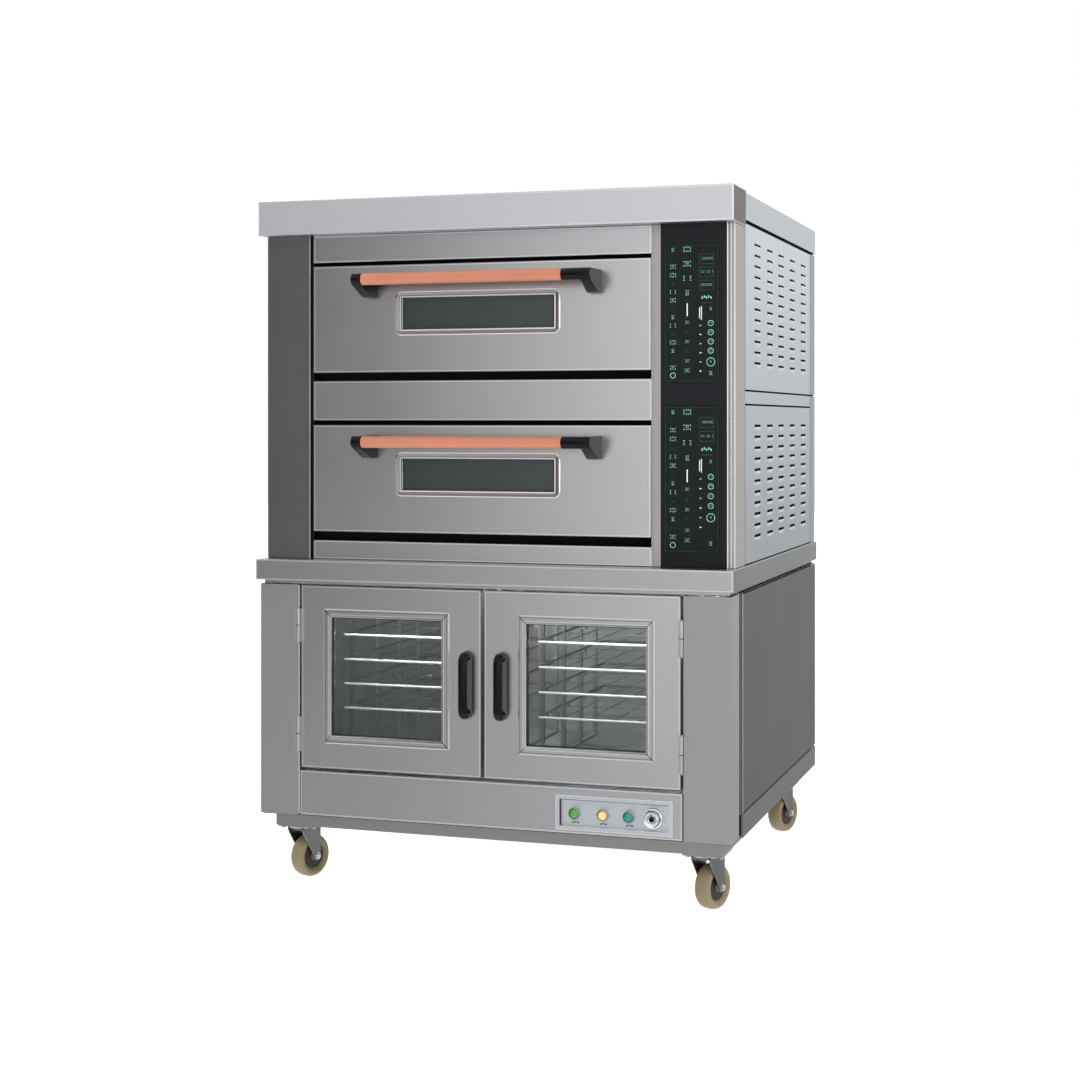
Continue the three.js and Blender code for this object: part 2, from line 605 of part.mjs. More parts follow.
function addLowerFascia() {
  const { left: px0, right: px1, bottom: pz0, top: pz1, flange, depth, play } = PLATE;
  const dx0 = px0 + flange;
  const dx1 = px1 - flange;
  const dz0 = pz0 + flange;
  const dz1 = pz1 - flange;
  const clear = SHEET + play;
  const section = outline(channel(0, LOWER_FASCIA.turn, FASCIA_BOTTOM, FASCIA_TOP));
  const fascia = combine(
    [extrude(section, 'x', LOWER_FASCIA.left, LOWER_FASCIA.right)],
    [box(dx0 - clear, dx1 + clear, -1, depth + SHEET + 2, dz0 - clear, dz1 + clear)],
  );
  part('lower_fascia', fascia, MATERIALS.stainless);

  const buttons = Object.values(BUTTONS);
  const across = (x, from, to, radius, sides) => rod('y', x, CONTROL_Z, from, to, radius, sides);
  const collars = buttons.map((x) => across(x, COLLAR.front, depth + 1, COLLAR.outer, 8));
  const wells = buttons.map((x) => across(x, COLLAR.front - 1, depth, COLLAR.inner, 8));
  const bores = [...buttons, KNOB_X].map((x) => (
    across(x, COLLAR.front - 1, depth + SHEET + 1, STEM_RADIUS + STEM_CLEARANCE, 6)));
  const tray = combine([
    box(px0, px1, -SHEET, -GAP, pz0, pz1),
    box(dx0 - SHEET, dx1 + SHEET, -GAP - 0.5, depth + SHEET, dz0 - SHEET, dz1 + SHEET),
  ], [box(dx0, dx1, -SHEET - 1, depth, dz0, dz1)]);
  part('control_plate', combine([tray, ...collars], [...wells, ...bores]), MATERIALS.stainless);
}

// ---------- buttons and knob ----------

// Turns a profile of [radius, depth] points into a solid about a line along Y at (x, z).
function turned(profile, x, z, segments) {
  const points = profile.map(([radius, y]) => new THREE.Vector2(radius, y));
  return new THREE.LatheGeometry(points, segments).translate(x, 0, z);
}

function addControls() {
  for (const [colour, x] of Object.entries(BUTTONS)) {
    part(`push_button_${colour}`, turned(BUTTON_PROFILE, x, CONTROL_Z, 20), MATERIALS[colour]);
  }
  part('control_knob', turned(KNOB_PROFILE, KNOB_X, CONTROL_Z, 24), MATERIALS.chrome);
}

// ---------- racks and shelves ----------

// Uprights at x with a rail along their top and bottom, and a pin for every shelf. `reach` is the sign of
// the direction that the pins point in.
function ladder(x, reach) {
  const half = UPRIGHT_SIZE / 2;
  const first = UPRIGHTS[0] - half;
  const last = UPRIGHTS.at(-1) + half;
  const foot = FLOOR_TOP + GAP;
  const bars = [
    box(x - half, x + half, first, last, foot, foot + RAIL_HEIGHT),
    box(x - half, x + half, first, last, RACK_TOP - RAIL_HEIGHT, RACK_TOP),
  ];
  const root = x + reach * (half - 1);
  const tip = x + reach * (half + PIN.reach);
  for (const y of UPRIGHTS) {
    bars.push(box(x - half, x + half, y - half, y + half, foot, RACK_TOP));
    for (const level of SHELF_LEVELS) {
      const top = level - SHELF.thick / 2 - GAP;
      bars.push(box(Math.min(root, tip), Math.max(root, tip), y - half, y + half, top - PIN.height, top));
    }
  }
  return bars;
}

function addRacks() {
  const half = UPRIGHT_SIZE / 2;
  const outer = SHELF.outer + UPRIGHT_PLAY + half;
  const inner = SHELF.inner - UPRIGHT_PLAY - half;
  part('rack_left', combine(ladder(-outer, 1)), MATERIALS.wire);
  part('rack_right', combine(ladder(outer, -1)), MATERIALS.wire);
  const foot = FLOOR_TOP + GAP;
  const ties = [UPRIGHTS[0], UPRIGHTS.at(-1)].flatMap((y) => [
    box(-inner, inner, y - half, y + half, foot, foot + RAIL_HEIGHT),
    box(-inner, inner, y - half, y + half, RACK_TOP - RAIL_HEIGHT, RACK_TOP),
  ]);
  part('rack_centre', combine([...ladder(-inner, -1), ...ladder(inner, 1), ...ties]), MATERIALS.wire);
}

function addShelf(side, level, index) {
  const { inner, outer, front, back, thick, bars, rod: width } = SHELF;
  const x0 = side === 'left' ? -outer : inner;
  const x1 = side === 'left' ? -inner : outer;
  const bottom = level - thick / 2;
  const pitch = (x1 - x0 - width) / bars;
  const slots = [];
  for (let i = 0; i < bars; i += 1) {
    const start = x0 + width + i * pitch;
    const end = start + pitch - width;
    slots.push(box(start, end, front + width, back - width, bottom - 1, bottom + thick + 1));
  }
  const shelf = combine([box(x0, x1, front, back, bottom, bottom + thick)], slots);
  part(`shelf_${side}_${index + 1}`, shelf, MATERIALS.wire);
}

// ---------- plinth and castors ----------

const castorPlaces = {
  front_left: [-CASTOR_X, CASTOR_FRONT_Y],
  front_right: [CASTOR_X, CASTOR_FRONT_Y],
  rear_left: [-CASTOR_X, CASTOR_REAR_Y],
  rear_right: [CASTOR_X, CASTOR_REAR_Y],
};

// A deck on four C-section rails, open underneath, with skirts round the sides and back and a plate for
// every castor.
function addBaseFrame() {
  const deck = POST_BOTTOM - GAP;
  const skirtTop = SIDE_BOTTOM - GAP;
  const { wall, flange, skirtBottom } = RAIL;
  const half = CASTOR_PLATE / 2;
  const plates = Object.values(castorPlaces).flatMap(([x, y]) => [
    box(x - half, x + half, y - half, y + half, PLINTH_BOTTOM - CASTOR_SEAT.drop, PLINTH_BOTTOM + wall),
    rod('z', x, y, FORK_TOP + GAP, PLINTH_BOTTOM - CASTOR_SEAT.drop + 1, CASTOR_SEAT.bossRadius, 10),
  ]);
  const base = combine([
    box(-PLINTH_HALF, PLINTH_HALF, PLINTH_FRONT, PLINTH_BACK, PLINTH_BOTTOM, deck - 1),
    box(-DECK.half, DECK.half, DECK.front, BACK, deck - SHEET, deck),
    box(-BODY_HALF, BODY_HALF, SIDE_FRONT, BACK, skirtBottom, skirtTop),
  ], [
    box(-BODY_HALF + SHEET, BODY_HALF - SHEET, SIDE_FRONT - 1, BACK - SHEET, deck, skirtTop + 1),
    box(-PLINTH_HALF + wall, PLINTH_HALF - wall, PLINTH_FRONT + wall, PLINTH_BACK - wall,
      PLINTH_BOTTOM + wall, deck - SHEET),
    box(-PLINTH_HALF + flange, PLINTH_HALF - flange, PLINTH_FRONT + flange, PLINTH_BACK - flange,
      PLINTH_BOTTOM - 1, PLINTH_BOTTOM + wall + 1),
  ]);
  part('base_frame', combine([base, ...plates]), MATERIALS.stainless);
}

function addCastor(name, [x, y]) {
  const castor = new THREE.Group();
  castor.position.set(x, y, 0);
  castor.rotation.z = CASTOR_SWIVEL;
  cabinet.add(castor);

  const side = new THREE.Shape();
  side.moveTo(FORK.front, FORK_TOP);
  side.lineTo(FORK.back, FORK_TOP);
  side.lineTo(CASTOR_TRAIL + FORK.tip, WHEEL_RADIUS);
  side.absarc(CASTOR_TRAIL, WHEEL_RADIUS, FORK.tip, 0, -Math.PI * 0.85, true);
  const leg = FORK_GAP + LEG_THICK;
  const alongAxle = (from, to, radius, sides) => (
    rod('x', CASTOR_TRAIL, WHEEL_RADIUS, from, to, radius, sides));
  const fork = combine([
    extrude(side, 'x', -leg, -FORK_GAP, 4),
    extrude(side, 'x', FORK_GAP, leg, 4),
    box(-leg, leg, FORK.front, FORK.back, FORK_TOP - FORK.crown, FORK_TOP),
    alongAxle(-leg - FORK.pinOut, leg + FORK.pinOut, AXLE_RADIUS, 5),
    alongAxle(leg - 1, leg + FORK.nutOut, FORK.nutRadius, 3),
    alongAxle(-leg - FORK.nutOut, -leg + 1, FORK.nutRadius, 3),
  ]);
  part(`castor_fork_${name}`, fork, MATERIALS.zinc, castor);

  const profile = [
    ...WHEEL_SECTION.map(([radius, across]) => new THREE.Vector2(radius, -across)),
    ...WHEEL_SECTION.map(([radius, across]) => new THREE.Vector2(radius, across)).reverse(),
    new THREE.Vector2(WHEEL_BORE, -HUB_HALF),
  ];
  const wheel = new THREE.LatheGeometry(profile, 24).rotateZ(-Math.PI / 2);
  wheel.translate(0, CASTOR_TRAIL, WHEEL_RADIUS);
  part(`castor_wheel_${name}`, wheel, MATERIALS.tyre, castor);
}

// ---------- assembly ----------

addOvenCasing();
addControlPanels();
addFascias();
for (const deck of ['upper', 'lower']) {
  addChamber(deck);
  addOvenDoor(deck);
}
addProoferCasing();
addLowerFascia();
addControls();
for (const side of ['left', 'right']) {
  addProoferDoor(side);
  SHELF_LEVELS.forEach((level, index) => addShelf(side, level, index));
}
addRacks();
addBaseFrame();
for (const [name, place] of Object.entries(castorPlaces)) {
  addCastor(name, place);
}

cabinet.position.y = -(BACK + GLAND.length + HANDLE_FRONT) / 2;

export default cabinet;
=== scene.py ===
"""Looks of the two-deck bakery oven on its proofing cabinet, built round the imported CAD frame.

Lengths are in millimetres in cabinet coordinates: x = 0 is the middle, y = 0 is the face of the proofer's
posts and the front faces -Y, z = 0 is the floor.
"""

from math import cos, pi, radians, sin, sqrt

import bmesh
import bpy
from mathutils import Matrix, Vector


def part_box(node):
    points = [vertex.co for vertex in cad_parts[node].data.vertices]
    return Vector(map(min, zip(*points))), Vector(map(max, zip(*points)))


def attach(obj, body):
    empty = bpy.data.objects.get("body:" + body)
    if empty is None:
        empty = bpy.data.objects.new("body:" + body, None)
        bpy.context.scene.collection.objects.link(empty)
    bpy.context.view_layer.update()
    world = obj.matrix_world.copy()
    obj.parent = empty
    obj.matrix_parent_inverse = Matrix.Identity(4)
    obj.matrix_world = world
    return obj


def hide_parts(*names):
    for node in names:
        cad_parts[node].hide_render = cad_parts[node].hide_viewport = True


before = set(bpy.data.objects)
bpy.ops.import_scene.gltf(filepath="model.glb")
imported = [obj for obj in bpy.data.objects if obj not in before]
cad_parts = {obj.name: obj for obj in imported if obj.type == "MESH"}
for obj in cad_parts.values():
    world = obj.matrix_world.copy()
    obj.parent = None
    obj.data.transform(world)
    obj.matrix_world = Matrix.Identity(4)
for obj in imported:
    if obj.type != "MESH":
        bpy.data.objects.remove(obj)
scene = bpy.context.scene
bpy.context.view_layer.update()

MM = 0.001
FACE_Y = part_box("proofer_left_post")[0].y  # where cabinet y = 0 lies in the frame
TO_FRAME = Matrix.Translation((0, FACE_Y, 0)) @ Matrix.Scale(MM, 4)


def mm_box(node):
    """A CAD node's lowest and highest corner in cabinet millimetres."""
    inverse = TO_FRAME.inverted()
    lo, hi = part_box(node)
    return inverse @ lo, inverse @ hi


# --- materials ---


class Nodes:
    """Builds one node tree."""

    def __init__(self, tree, shader=None):
        self.tree = tree
        self.shader = shader

    def wire(self, **outputs):
        """Links values to the shader's inputs."""
        for key, output in outputs.items():
            self.tree.links.new(output, self.shader.inputs[key.replace("_", " ")])

    def add(self, kind, inputs=None, **settings):
        node = self.tree.nodes.new("ShaderNode" + kind)
        for key, value in settings.items():
            setattr(node, key, value)
        for key, value in (inputs or {}).items():
            if isinstance(value, bpy.types.NodeSocket):
                self.tree.links.new(value, node.inputs[key])
            else:
                node.inputs[key].default_value = value
        return node

    def place(self, space="Object"):
        return self.add("TexCoord").outputs[space]

    def axis(self, vector, letter):
        return self.add("SeparateXYZ", {"Vector": vector}).outputs[letter]

    def noise(self, scale, detail=3.0):
        """Noise stretched by scale, so it runs along the axis with the smallest scale."""
        vector = self.add("Mapping", {"Vector": self.place(), "Scale": scale}).outputs["Vector"]
        return self.add(
            "TexNoise", {"Vector": vector, "Scale": 1.0, "Detail": detail, "Roughness": 0.55}
        ).outputs["Fac"]

    def spread(self, value, low, high, source=(0.3, 0.7)):
        """Maps a noise value onto the range from low to high."""
        inputs = {"Value": value, 1: source[0], 2: source[1], 3: low, 4: high}
        return self.add("MapRange", inputs).outputs[0]

    def mix(self, factor, a, b):
        node = self.add("Mix", {"Factor": factor}, data_type="RGBA")
        for socket, colour in ((node.inputs[6], a), (node.inputs[7], b)):
            if isinstance(colour, bpy.types.NodeSocket):
                self.tree.links.new(colour, socket)
            else:
                socket.default_value = (*colour, 1)
        return node.outputs[2]

    def bump(self, height, distance):
        inputs = {"Height": height, "Distance": distance}
        return self.add("Bump", inputs).outputs["Normal"]


MAT = {}
BLACK = "black_plastic"  # the slot of black trim, seals, printed marks and the painted shade in grooves, recesses and joints


def principled(name, metallic=0.0, **sockets):
    """Adds a material to MAT under its name."""
    material = MAT[name] = bpy.data.materials.new(name)
    material.use_nodes = True
    shader = material.node_tree.nodes["Principled BSDF"]
    shader.inputs["Metallic"].default_value = metallic
    for key, value in sockets.items():
        shader.inputs[key.replace("_", " ")].default_value = value
    return Nodes(material.node_tree, shader)


def shade(colour, factor):
    return tuple(min(1.0, channel * factor) for channel in colour)


GRAIN = {"x": (0.02, 1, 1), "y": (1, 0.02, 1), "z": (1, 1, 0.02)}
GLOSS_SPREAD = 0.004  # how much the roughness differs from streak to streak
SCRATCH_DEPTH = 0.0000006


def brushed(
    name, colour, roughness, grain, contrast, metallic=1.0, pitch=620, wear=0.015, ends=None, height_shade=None
):
    """Brushed sheet steel: fine streaks along the grain, with faint smudges in the gloss.

    ends is a painted shade: the colour of the faces that look sideways. height_shade paints shade that
    darkens the colour towards the bottom, given as (low z, high z, share of the colour at low z).
    """
    nodes = principled(name, metallic)
    streaks = nodes.noise(tuple(pitch * s for s in GRAIN[grain]), detail=2.0)
    smudges = nodes.noise((3, 3, 3), detail=4.0)
    darker, lighter = shade(colour, 1 - contrast), shade(colour, 1 + contrast)
    fine = nodes.mix(nodes.spread(streaks, 0, 1), darker, lighter)
    tint = nodes.mix(nodes.spread(smudges, 0, 0.5), fine, shade(colour, 1 - 1.5 * contrast))
    # painted shade: darker towards the bottom
    if height_shade:
        low, high, share = height_shade
        height = nodes.axis(nodes.place(), "Z")
        tint = nodes.mix(nodes.spread(height, 0, 1, (low, high)), shade(colour, share), tint)
    # painted shade on the faces that look sideways
    if ends:
        normal = nodes.add("NewGeometry").outputs["True Normal"]
        size = nodes.add("Math", {0: nodes.axis(normal, "X")}, operation="ABSOLUTE").outputs[0]
        tint = nodes.mix(nodes.spread(size, 0, 1, (0.93, 0.97)), tint, ends)
    even = nodes.spread(streaks, roughness - GLOSS_SPREAD, roughness + GLOSS_SPREAD)
    worn = nodes.spread(smudges, -wear, wear)
    gloss = nodes.add("Math", {0: even, 1: worn}, operation="ADD").outputs[0]
    nodes.wire(Base_Color=tint, Roughness=gloss, Normal=nodes.bump(streaks, SCRATCH_DEPTH))


def moulded(name, colour, roughness=0.35, grain_size=900, depth=0.00004, specular=0.4, coat=0.0):
    """Moulded plastic or rubber: a fine even grain and slightly uneven gloss."""
    nodes = principled(
        name, Specular_IOR_Level=specular, Coat_Weight=coat, Coat_Roughness=0.08
    )
    grain = nodes.noise((grain_size,) * 3, detail=2.0)
    patches = nodes.noise((9, 9, 9), detail=4.0)
    tint = nodes.mix(nodes.spread(patches, 0, 1), shade(colour, 0.9), shade(colour, 1.08))
    gloss = nodes.spread(patches, roughness - 0.05, roughness + 0.06)
    nodes.wire(Base_Color=tint, Roughness=gloss, Normal=nodes.bump(grain, depth))


def glass(name, colour, alpha, smear=0.03):
    """A pane: most light goes through, and the rest meets a faint film."""
    nodes = principled(name, IOR=1.5, Alpha=alpha)
    film = nodes.noise((5, 5, 14), detail=5.0)
    tint = nodes.mix(nodes.spread(film, 0, 1), shade(colour, 0.94), colour)
    nodes.wire(Base_Color=tint, Roughness=nodes.spread(film, 0.0, smear))


def glowing(name, colour, strength):
    nodes = principled(name, Roughness=0.4, Emission_Strength=strength)
    patches = nodes.noise((60, 60, 60))
    tint = nodes.mix(nodes.spread(patches, 0, 1), shade(colour, 0.82), shade(colour, 1.1))
    nodes.wire(Base_Color=tint, Emission_Color=tint)


brushed("panel", (0.505, 0.507, 0.52), 0.25, "x", 0.008)
# the cap's and the worktop's ends get a painted shade, darker than their fronts
brushed("cap", (0.665, 0.68, 0.71), 0.44, "x", 0.008, ends=(0.17, 0.155, 0.147))
brushed("worktop", (0.47, 0.472, 0.485), 0.3, "x", 0.025, ends=(0.145, 0.162, 0.162))
brushed("post", (0.44, 0.43, 0.425), 0.42, "z", 0.012)
brushed("post_low", (0.405, 0.392, 0.386), 0.42, "z", 0.02)
# a darker copy of the post steel for the base frame: painted shade
brushed("plinth", (0.325, 0.315, 0.312), 0.42, "x", 0.02)
# a darker copy of the post steel for the oven's left post: painted shade
brushed("post_shaded", (0.205, 0.193, 0.192), 0.34, "z", 0.012)
# near-white steel that paints highlights: the lines along folds and edges, and small bright parts
brushed("highlight_steel", (0.93, 0.935, 0.945), 0.3, "x", 0.02)
brushed("bezel", (0.27, 0.25, 0.24), 0.28, "x", 0.03)
# the side sheets darken towards the bottom: painted shade
brushed("side", (0.68, 0.73, 0.775), 0.42, "z", 0.012, height_shade=(0.86, 1.6, 0.6))
# a lighter, glossier copy of the side steel for the louvre lips: painted highlight
brushed("louvre_highlight", (0.86, 0.89, 0.92), 0.3, "y", 0.015)
# a darker copy of the side steel for the rear strips: painted shade
brushed("side_rear", (0.37, 0.395, 0.42), 0.42, "z", 0.015)
brushed("roof", (0.585, 0.625, 0.66), 0.42, "y", 0.012)
brushed("plate", (0.60, 0.635, 0.67), 0.42, "x", 0.01)
brushed("proofer_side", (0.104, 0.114, 0.113), 0.45, "z", 0.02)
brushed("skirt", (0.16, 0.168, 0.166), 0.42, "y", 0.02)
brushed("liner", (0.42, 0.44, 0.43), 0.4, "z", 0.03)
# near-black for gaps, slots, splits and the chambers seen through them: painted shade
moulded("gap_shade", (0.006, 0.006, 0.007), 0.8, specular=0.05)
moulded("column", (0.008, 0.0095, 0.0115), 0.3, specular=0.12)
moulded("touch", (0.004, 0.007, 0.007), 0.1, 200, 0.000004, 0.12)
glowing("mark", (0.20, 0.46, 0.32), 0.12)
moulded("mark_dim", (0.03, 0.055, 0.045), 0.4, specular=0.2)
glowing("mark_white", (0.62, 0.66, 0.58), 0.15)
moulded("ink", (0.02, 0.02, 0.022), 0.5)
glass("oven_glass", (0.030, 0.039, 0.038), 0.88)
glass("clear_glass", (0.16, 0.18, 0.17), 0.06)
moulded("grip", (0.41, 0.147, 0.085), 0.3, 700, 0.00001, 0.4, 0.15)
moulded("black", (0.003, 0.003, 0.0034), 0.14, 1100, 0.00001, 0.12, 0.06)
moulded("pull_plate", (0.075, 0.074, 0.070), 0.4, specular=0.3)
# black rubber for seals, also used for painted shade in recesses and grooves
moulded("gasket", (0.02, 0.02, 0.02), 0.6, specular=0.2)
# lit and shaded copies of one shelf wire: the lighter one paints light on the front rods, the darker one
# paints shade on the rest
brushed("wire", (0.62, 0.63, 0.63), 0.4, "x", 0.03, 0.2)
brushed("wire_shaded", (0.22, 0.23, 0.225), 0.4, "x", 0.03)
brushed("rack", (0.36, 0.37, 0.36), 0.4, "z", 0.03)
brushed("zinc", (0.55, 0.555, 0.56), 0.26, "z", 0.08, 1.0, 60)
brushed("fork", (0.22, 0.22, 0.224), 0.2, "z", 0.10, 1.0, 60)
moulded("tyre", (0.20, 0.160, 0.088), 0.4, 500, 0.00003, 0.35)
moulded("hub", (0.02, 0.02, 0.018), 0.5, 500, 0.00004, 0.3)
brushed("chrome", (0.80, 0.80, 0.80), 0.12, "x", 0.02)
brushed("screw", (0.62, 0.62, 0.62), 0.2, "x", 0.05)
moulded("stone", (0.36, 0.31, 0.25), 0.85, 260, 0.0004, 0.2)
brushed("element", (0.16, 0.14, 0.125), 0.45, "x", 0.12, 0.8, 90)
moulded("green", (0.055, 0.26, 0.045), 0.2, 300, 0.00001, 0.4, 0.4)
moulded("yellow", (0.66, 0.50, 0.17), 0.2, 300, 0.00001, 0.4, 0.4)
moulded("teal", (0.010, 0.19, 0.165), 0.2, 300, 0.00001, 0.4, 0.4)


# --- geometry ---


def rounded_rect(x0, x1, z0, z1, radius, steps=4):
    """Points round a rectangle with rounded corners, anticlockwise, as (x, z)."""
    points = []
    corners = ((x1, z0, 1, -1, -90), (x1, z1, 1, 1, 0), (x0, z1, -1, 1, 90), (x0, z0, -1, -1, 180))
    for x, z, sx, sz, start in corners:
        for i in range(steps + 1):
            turn = radians(start + 90 * i / steps)
            points.append(
                (x - sx * radius + radius * cos(turn), z - sz * radius + radius * sin(turn))
            )
    return points


def arc(a, b, radius, start, stop, step):
    """Points about (a, b) from start degrees up to, but not including, stop."""
    turns = [radians(angle) for angle in range(start, stop, step)]
    return [(a + radius * cos(turn), b + radius * sin(turn)) for turn in turns]


def hoop(inner, outer, low, high):
    """The (radius, height) outline of a ring, or of a disc if inner is 0."""
    return [(inner, low), (outer, low), (outer, high), (inner, high)]


def around(box, out, rise=None):
    """x0, x1, z0, z1 of a node's box grown by out sideways and by rise, or out, up and down."""
    lo, hi = box
    rise = out if rise is None else rise
    return lo.x - out, hi.x + out, lo.z - rise, hi.z + rise


def middle_of(box):
    """The x and z of the middle of a node's box."""
    lo, hi = box
    return (lo.x + hi.x) / 2, (lo.z + hi.z) / 2


def on_axis(axis, a, b, t):
    return {"x": (t, a, b), "y": (a, t, b), "z": (a, b, t)}[axis]


class Shape:
    """One mesh in the making, in cabinet millimetres."""

    def __init__(self):
        self.bm = bmesh.new()

    def ring(self, points):
        return [self.bm.verts.new(p) for p in points]

    def skin(self, rings, closed=False, caps=True):
        """Joins rings of equal length one to the next."""
        pairs = list(zip(rings, rings[1:]))
        if closed:
            pairs.append((rings[-1], rings[0]))
        for a, b in pairs:
            for i in range(len(a)):
                j = (i + 1) % len(a)
                self.bm.faces.new((a[i], a[j], b[j], b[i]))
        if caps and not closed:
            self.bm.faces.new(list(reversed(rings[0])))
            self.bm.faces.new(rings[-1])

    def prism(self, outline, axis, low, high):
        self.skin([self.ring([on_axis(axis, a, b, t) for a, b in outline]) for t in (low, high)])
        return self

    def box(self, x0, x1, y0, y1, z0, z1):
        x0, x1 = sorted((x0, x1))
        return self.prism([(x0, y0), (x1, y0), (x1, y1), (x0, y1)], "z", z0, z1)

    def lathe(self, profile, axis, a, b, segments=32, closed=False):
        """Turns (radius, height) points about a line along axis through a, b."""
        rings = []
        turns = [2 * pi * i / segments for i in range(segments)]
        for radius, height in profile:
            reach = max(radius, 0.01)
            round_it = ((a + reach * cos(turn), b + reach * sin(turn)) for turn in turns)
            rings.append(self.ring([on_axis(axis, u, v, height) for u, v in round_it]))
        self.skin(rings, closed)
        return self

    def tube(self, path, radius, sides=10, closed=False):
        """A round bar along the points of path."""
        points = [Vector(p) for p in path]
        rings = []
        side = None
        for i, point in enumerate(points):
            before = points[i - 1] if i or closed else point
            after = points[(i + 1) % len(points)] if i + 1 < len(points) or closed else point
            along = (after - before).normalized()
            if side is None:
                side = along.orthogonal().normalized()
            side = (side - along * side.dot(along)).normalized()
            up = along.cross(side)
            turns = [2 * pi * k / sides for k in range(sides)]
            rings.append(self.ring([point + radius * (cos(t) * side + sin(t) * up) for t in turns]))
        self.skin(rings, closed)
        return self

    def frame(self, x0, x1, z0, z1, profile, radius=0.0, steps=4, face=0.0):
        """Sweeps a closed profile round a rectangle that faces -Y, with mitred or round corners.

        profile has (inset, y) points, where y counts from face.
        """
        rings = []
        for inset, y in profile:
            bend = max(radius - inset, 0.4 if radius else 0.0)
            left, right, low, high = x0 + inset, x1 - inset, z0 + inset, z1 - inset
            if radius:
                outline = rounded_rect(left, right, low, high, bend, steps)
            else:
                outline = [(right, low), (right, high), (left, high), (left, low)]
            rings.append(self.ring([(x, face + y, z) for x, z in outline]))
        self.skin(rings, True)
        return self

    def screw(self, axis, a, b, face, outward, radius=4.0):
        """A pan-head screw with a cross recess standing on a face."""
        sides = 16
        heights = ((1.0, 0), (1.0, 0.35), (0.72, 0.8), (0.35, 1.0), (0.0, 1.0))
        rings = []
        for share, rise in heights:
            ring = []
            for k in range(sides):
                turn = 2 * pi * k / sides
                reach = max(radius * share, 0.02)
                sink = 0.6 if share in (0.35, 0.0) and k % 4 == 0 else 0.0
                height = face + outward * (rise * radius * 0.45 - sink)
                ring.append(on_axis(axis, a + reach * cos(turn), b + reach * sin(turn), height))
            rings.append(self.ring(ring))
        self.skin(rings)
        return self

    def mesh(self, name, matrix=Matrix.Identity(4)):
        self.bm.transform(TO_FRAME @ matrix)
        mesh = bpy.data.meshes.new(name)
        self.bm.to_mesh(mesh)
        self.bm.free()
        return mesh

    def finish(
        self, name, look, slot, body="root", replaces=None, bevel=0, angle=32, steps=2, at=Matrix.Identity(4)
    ):
        """Makes the piece. replaces is the CAD node that it stands in for, and at moves it into place."""
        bmesh.ops.recalc_face_normals(self.bm, faces=self.bm.faces)
        mesh = self.mesh(name, at)
        mesh.polygons.foreach_set("use_smooth", [True] * len(mesh.polygons))
        mesh.set_sharp_from_angle(angle=radians(angle))
        mesh.materials.append(MAT[look])
        obj = link(name, mesh)
        if bevel:
            add_bevel(obj, bevel, steps)
        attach(obj, body)
        if replaces:
            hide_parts(replaces)


def link(name, data):
    obj = bpy.data.objects.new(name, data)
    scene.collection.objects.link(obj)
    return obj


def add_bevel(obj, width, steps):
    bevel = obj.modifiers.new("folds", "BEVEL")
    bevel.width = width * MM
    bevel.segments = steps
    bevel.limit_method = "ANGLE"
    bevel.angle_limit = radians(40)
    bevel.harden_normals = True


def dress(node, look, bevel=1.6, steps=2):
    """Gives a CAD node its finish, and rolls its folds."""
    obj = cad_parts[node]
    for slot in obj.material_slots:
        slot.material = MAT[look]
    if bevel:
        weld = obj.modifiers.new("weld", "WELD")
        weld.merge_threshold = 0.00002
        add_bevel(obj, bevel, steps)


# --- dimensions read from the frame ---

DECKS = ("upper", "lower")
SIDES = {"left": -1, "right": 1}  # with the way that each one faces
oven_side_lo, oven_side_hi = mm_box("oven_side_right")
BODY_HALF = oven_side_hi.x
BACK = oven_side_hi.y
OVEN_BOTTOM = oven_side_lo.z
walls_lo, walls_hi = mm_box("proofer_walls")


# --- CAD nodes that keep their shape ---

dress("front_cornice", "cap", 2.2, 3)
dress("worktop", "worktop", 2.2, 3)
dress("roof_cover", "roof", 2.0)
# the left post gets the shaded copy of the post steel: painted shade
dress("oven_left_post", "post_shaded", 2.2)
dress("oven_right_post", "post", 1.8)
dress("control_column", "column", 1.2)
for deck in DECKS:
    dress(f"touch_panel_{deck}", "touch", 0.5)
    # the chambers are near-black so the gaps round the doors read dark: painted shade
    dress(f"chamber_{deck}", "gap_shade", 0)
    dress(f"{deck}_door_shell", "panel", 2.6, 3)
    dress(f"{deck}_door_glass", "oven_glass", 0)
for name in ("top_fascia", "middle_fascia", "bottom_fascia", "lower_fascia"):
    dress(name, "panel", 2.2, 3)
dress("control_plate", "plate", 1.4)
for side in SIDES:
    dress(f"proofer_{side}_post", "post_low", 1.8)
    dress(f"proofer_{side}_door_shell", "panel", 1.8)
    dress(f"proofer_{side}_door_glass", "clear_glass", 0)
dress("proofer_walls", "liner", 0)
dress("oven_back", "side", 0.8)
dress("proofer_floor", "liner", 0.8)
for name in ("rack_left", "rack_centre", "rack_right"):
    dress(name, "rack", 0)
dress("base_frame", "plinth", 1.4)


# --- oven sides: louvred sheets over a dark backing that paints the shade behind the slots ---

SLOT_LENGTH = 75
SLOT_HEIGHT = 7.5
SLOT_COLUMNS = (300, 459, 611, 771, 939)
SHEET = 1.2
PANEL_FRONT = 152
STRIP_FRONT = 1053
TRIM_LOW, TRIM_HIGH = 1206, 1240  # the band between the two louvred fields
SEAM = 4.5
ROOF_GAP = 5.5  # left open between the side sheets and the roof
REAR_GAP = 7.0  # left open in front of the rear strip
REAR_RETURN = 590.5  # how far in the rear strip turns round the corner
LIP_DROP = 7.0
LOUVRE_LIP = ((2.6, 1.2), (2.236, -2.24), (1.04, -4.9))  # how far a lip stands out and up, from the top down


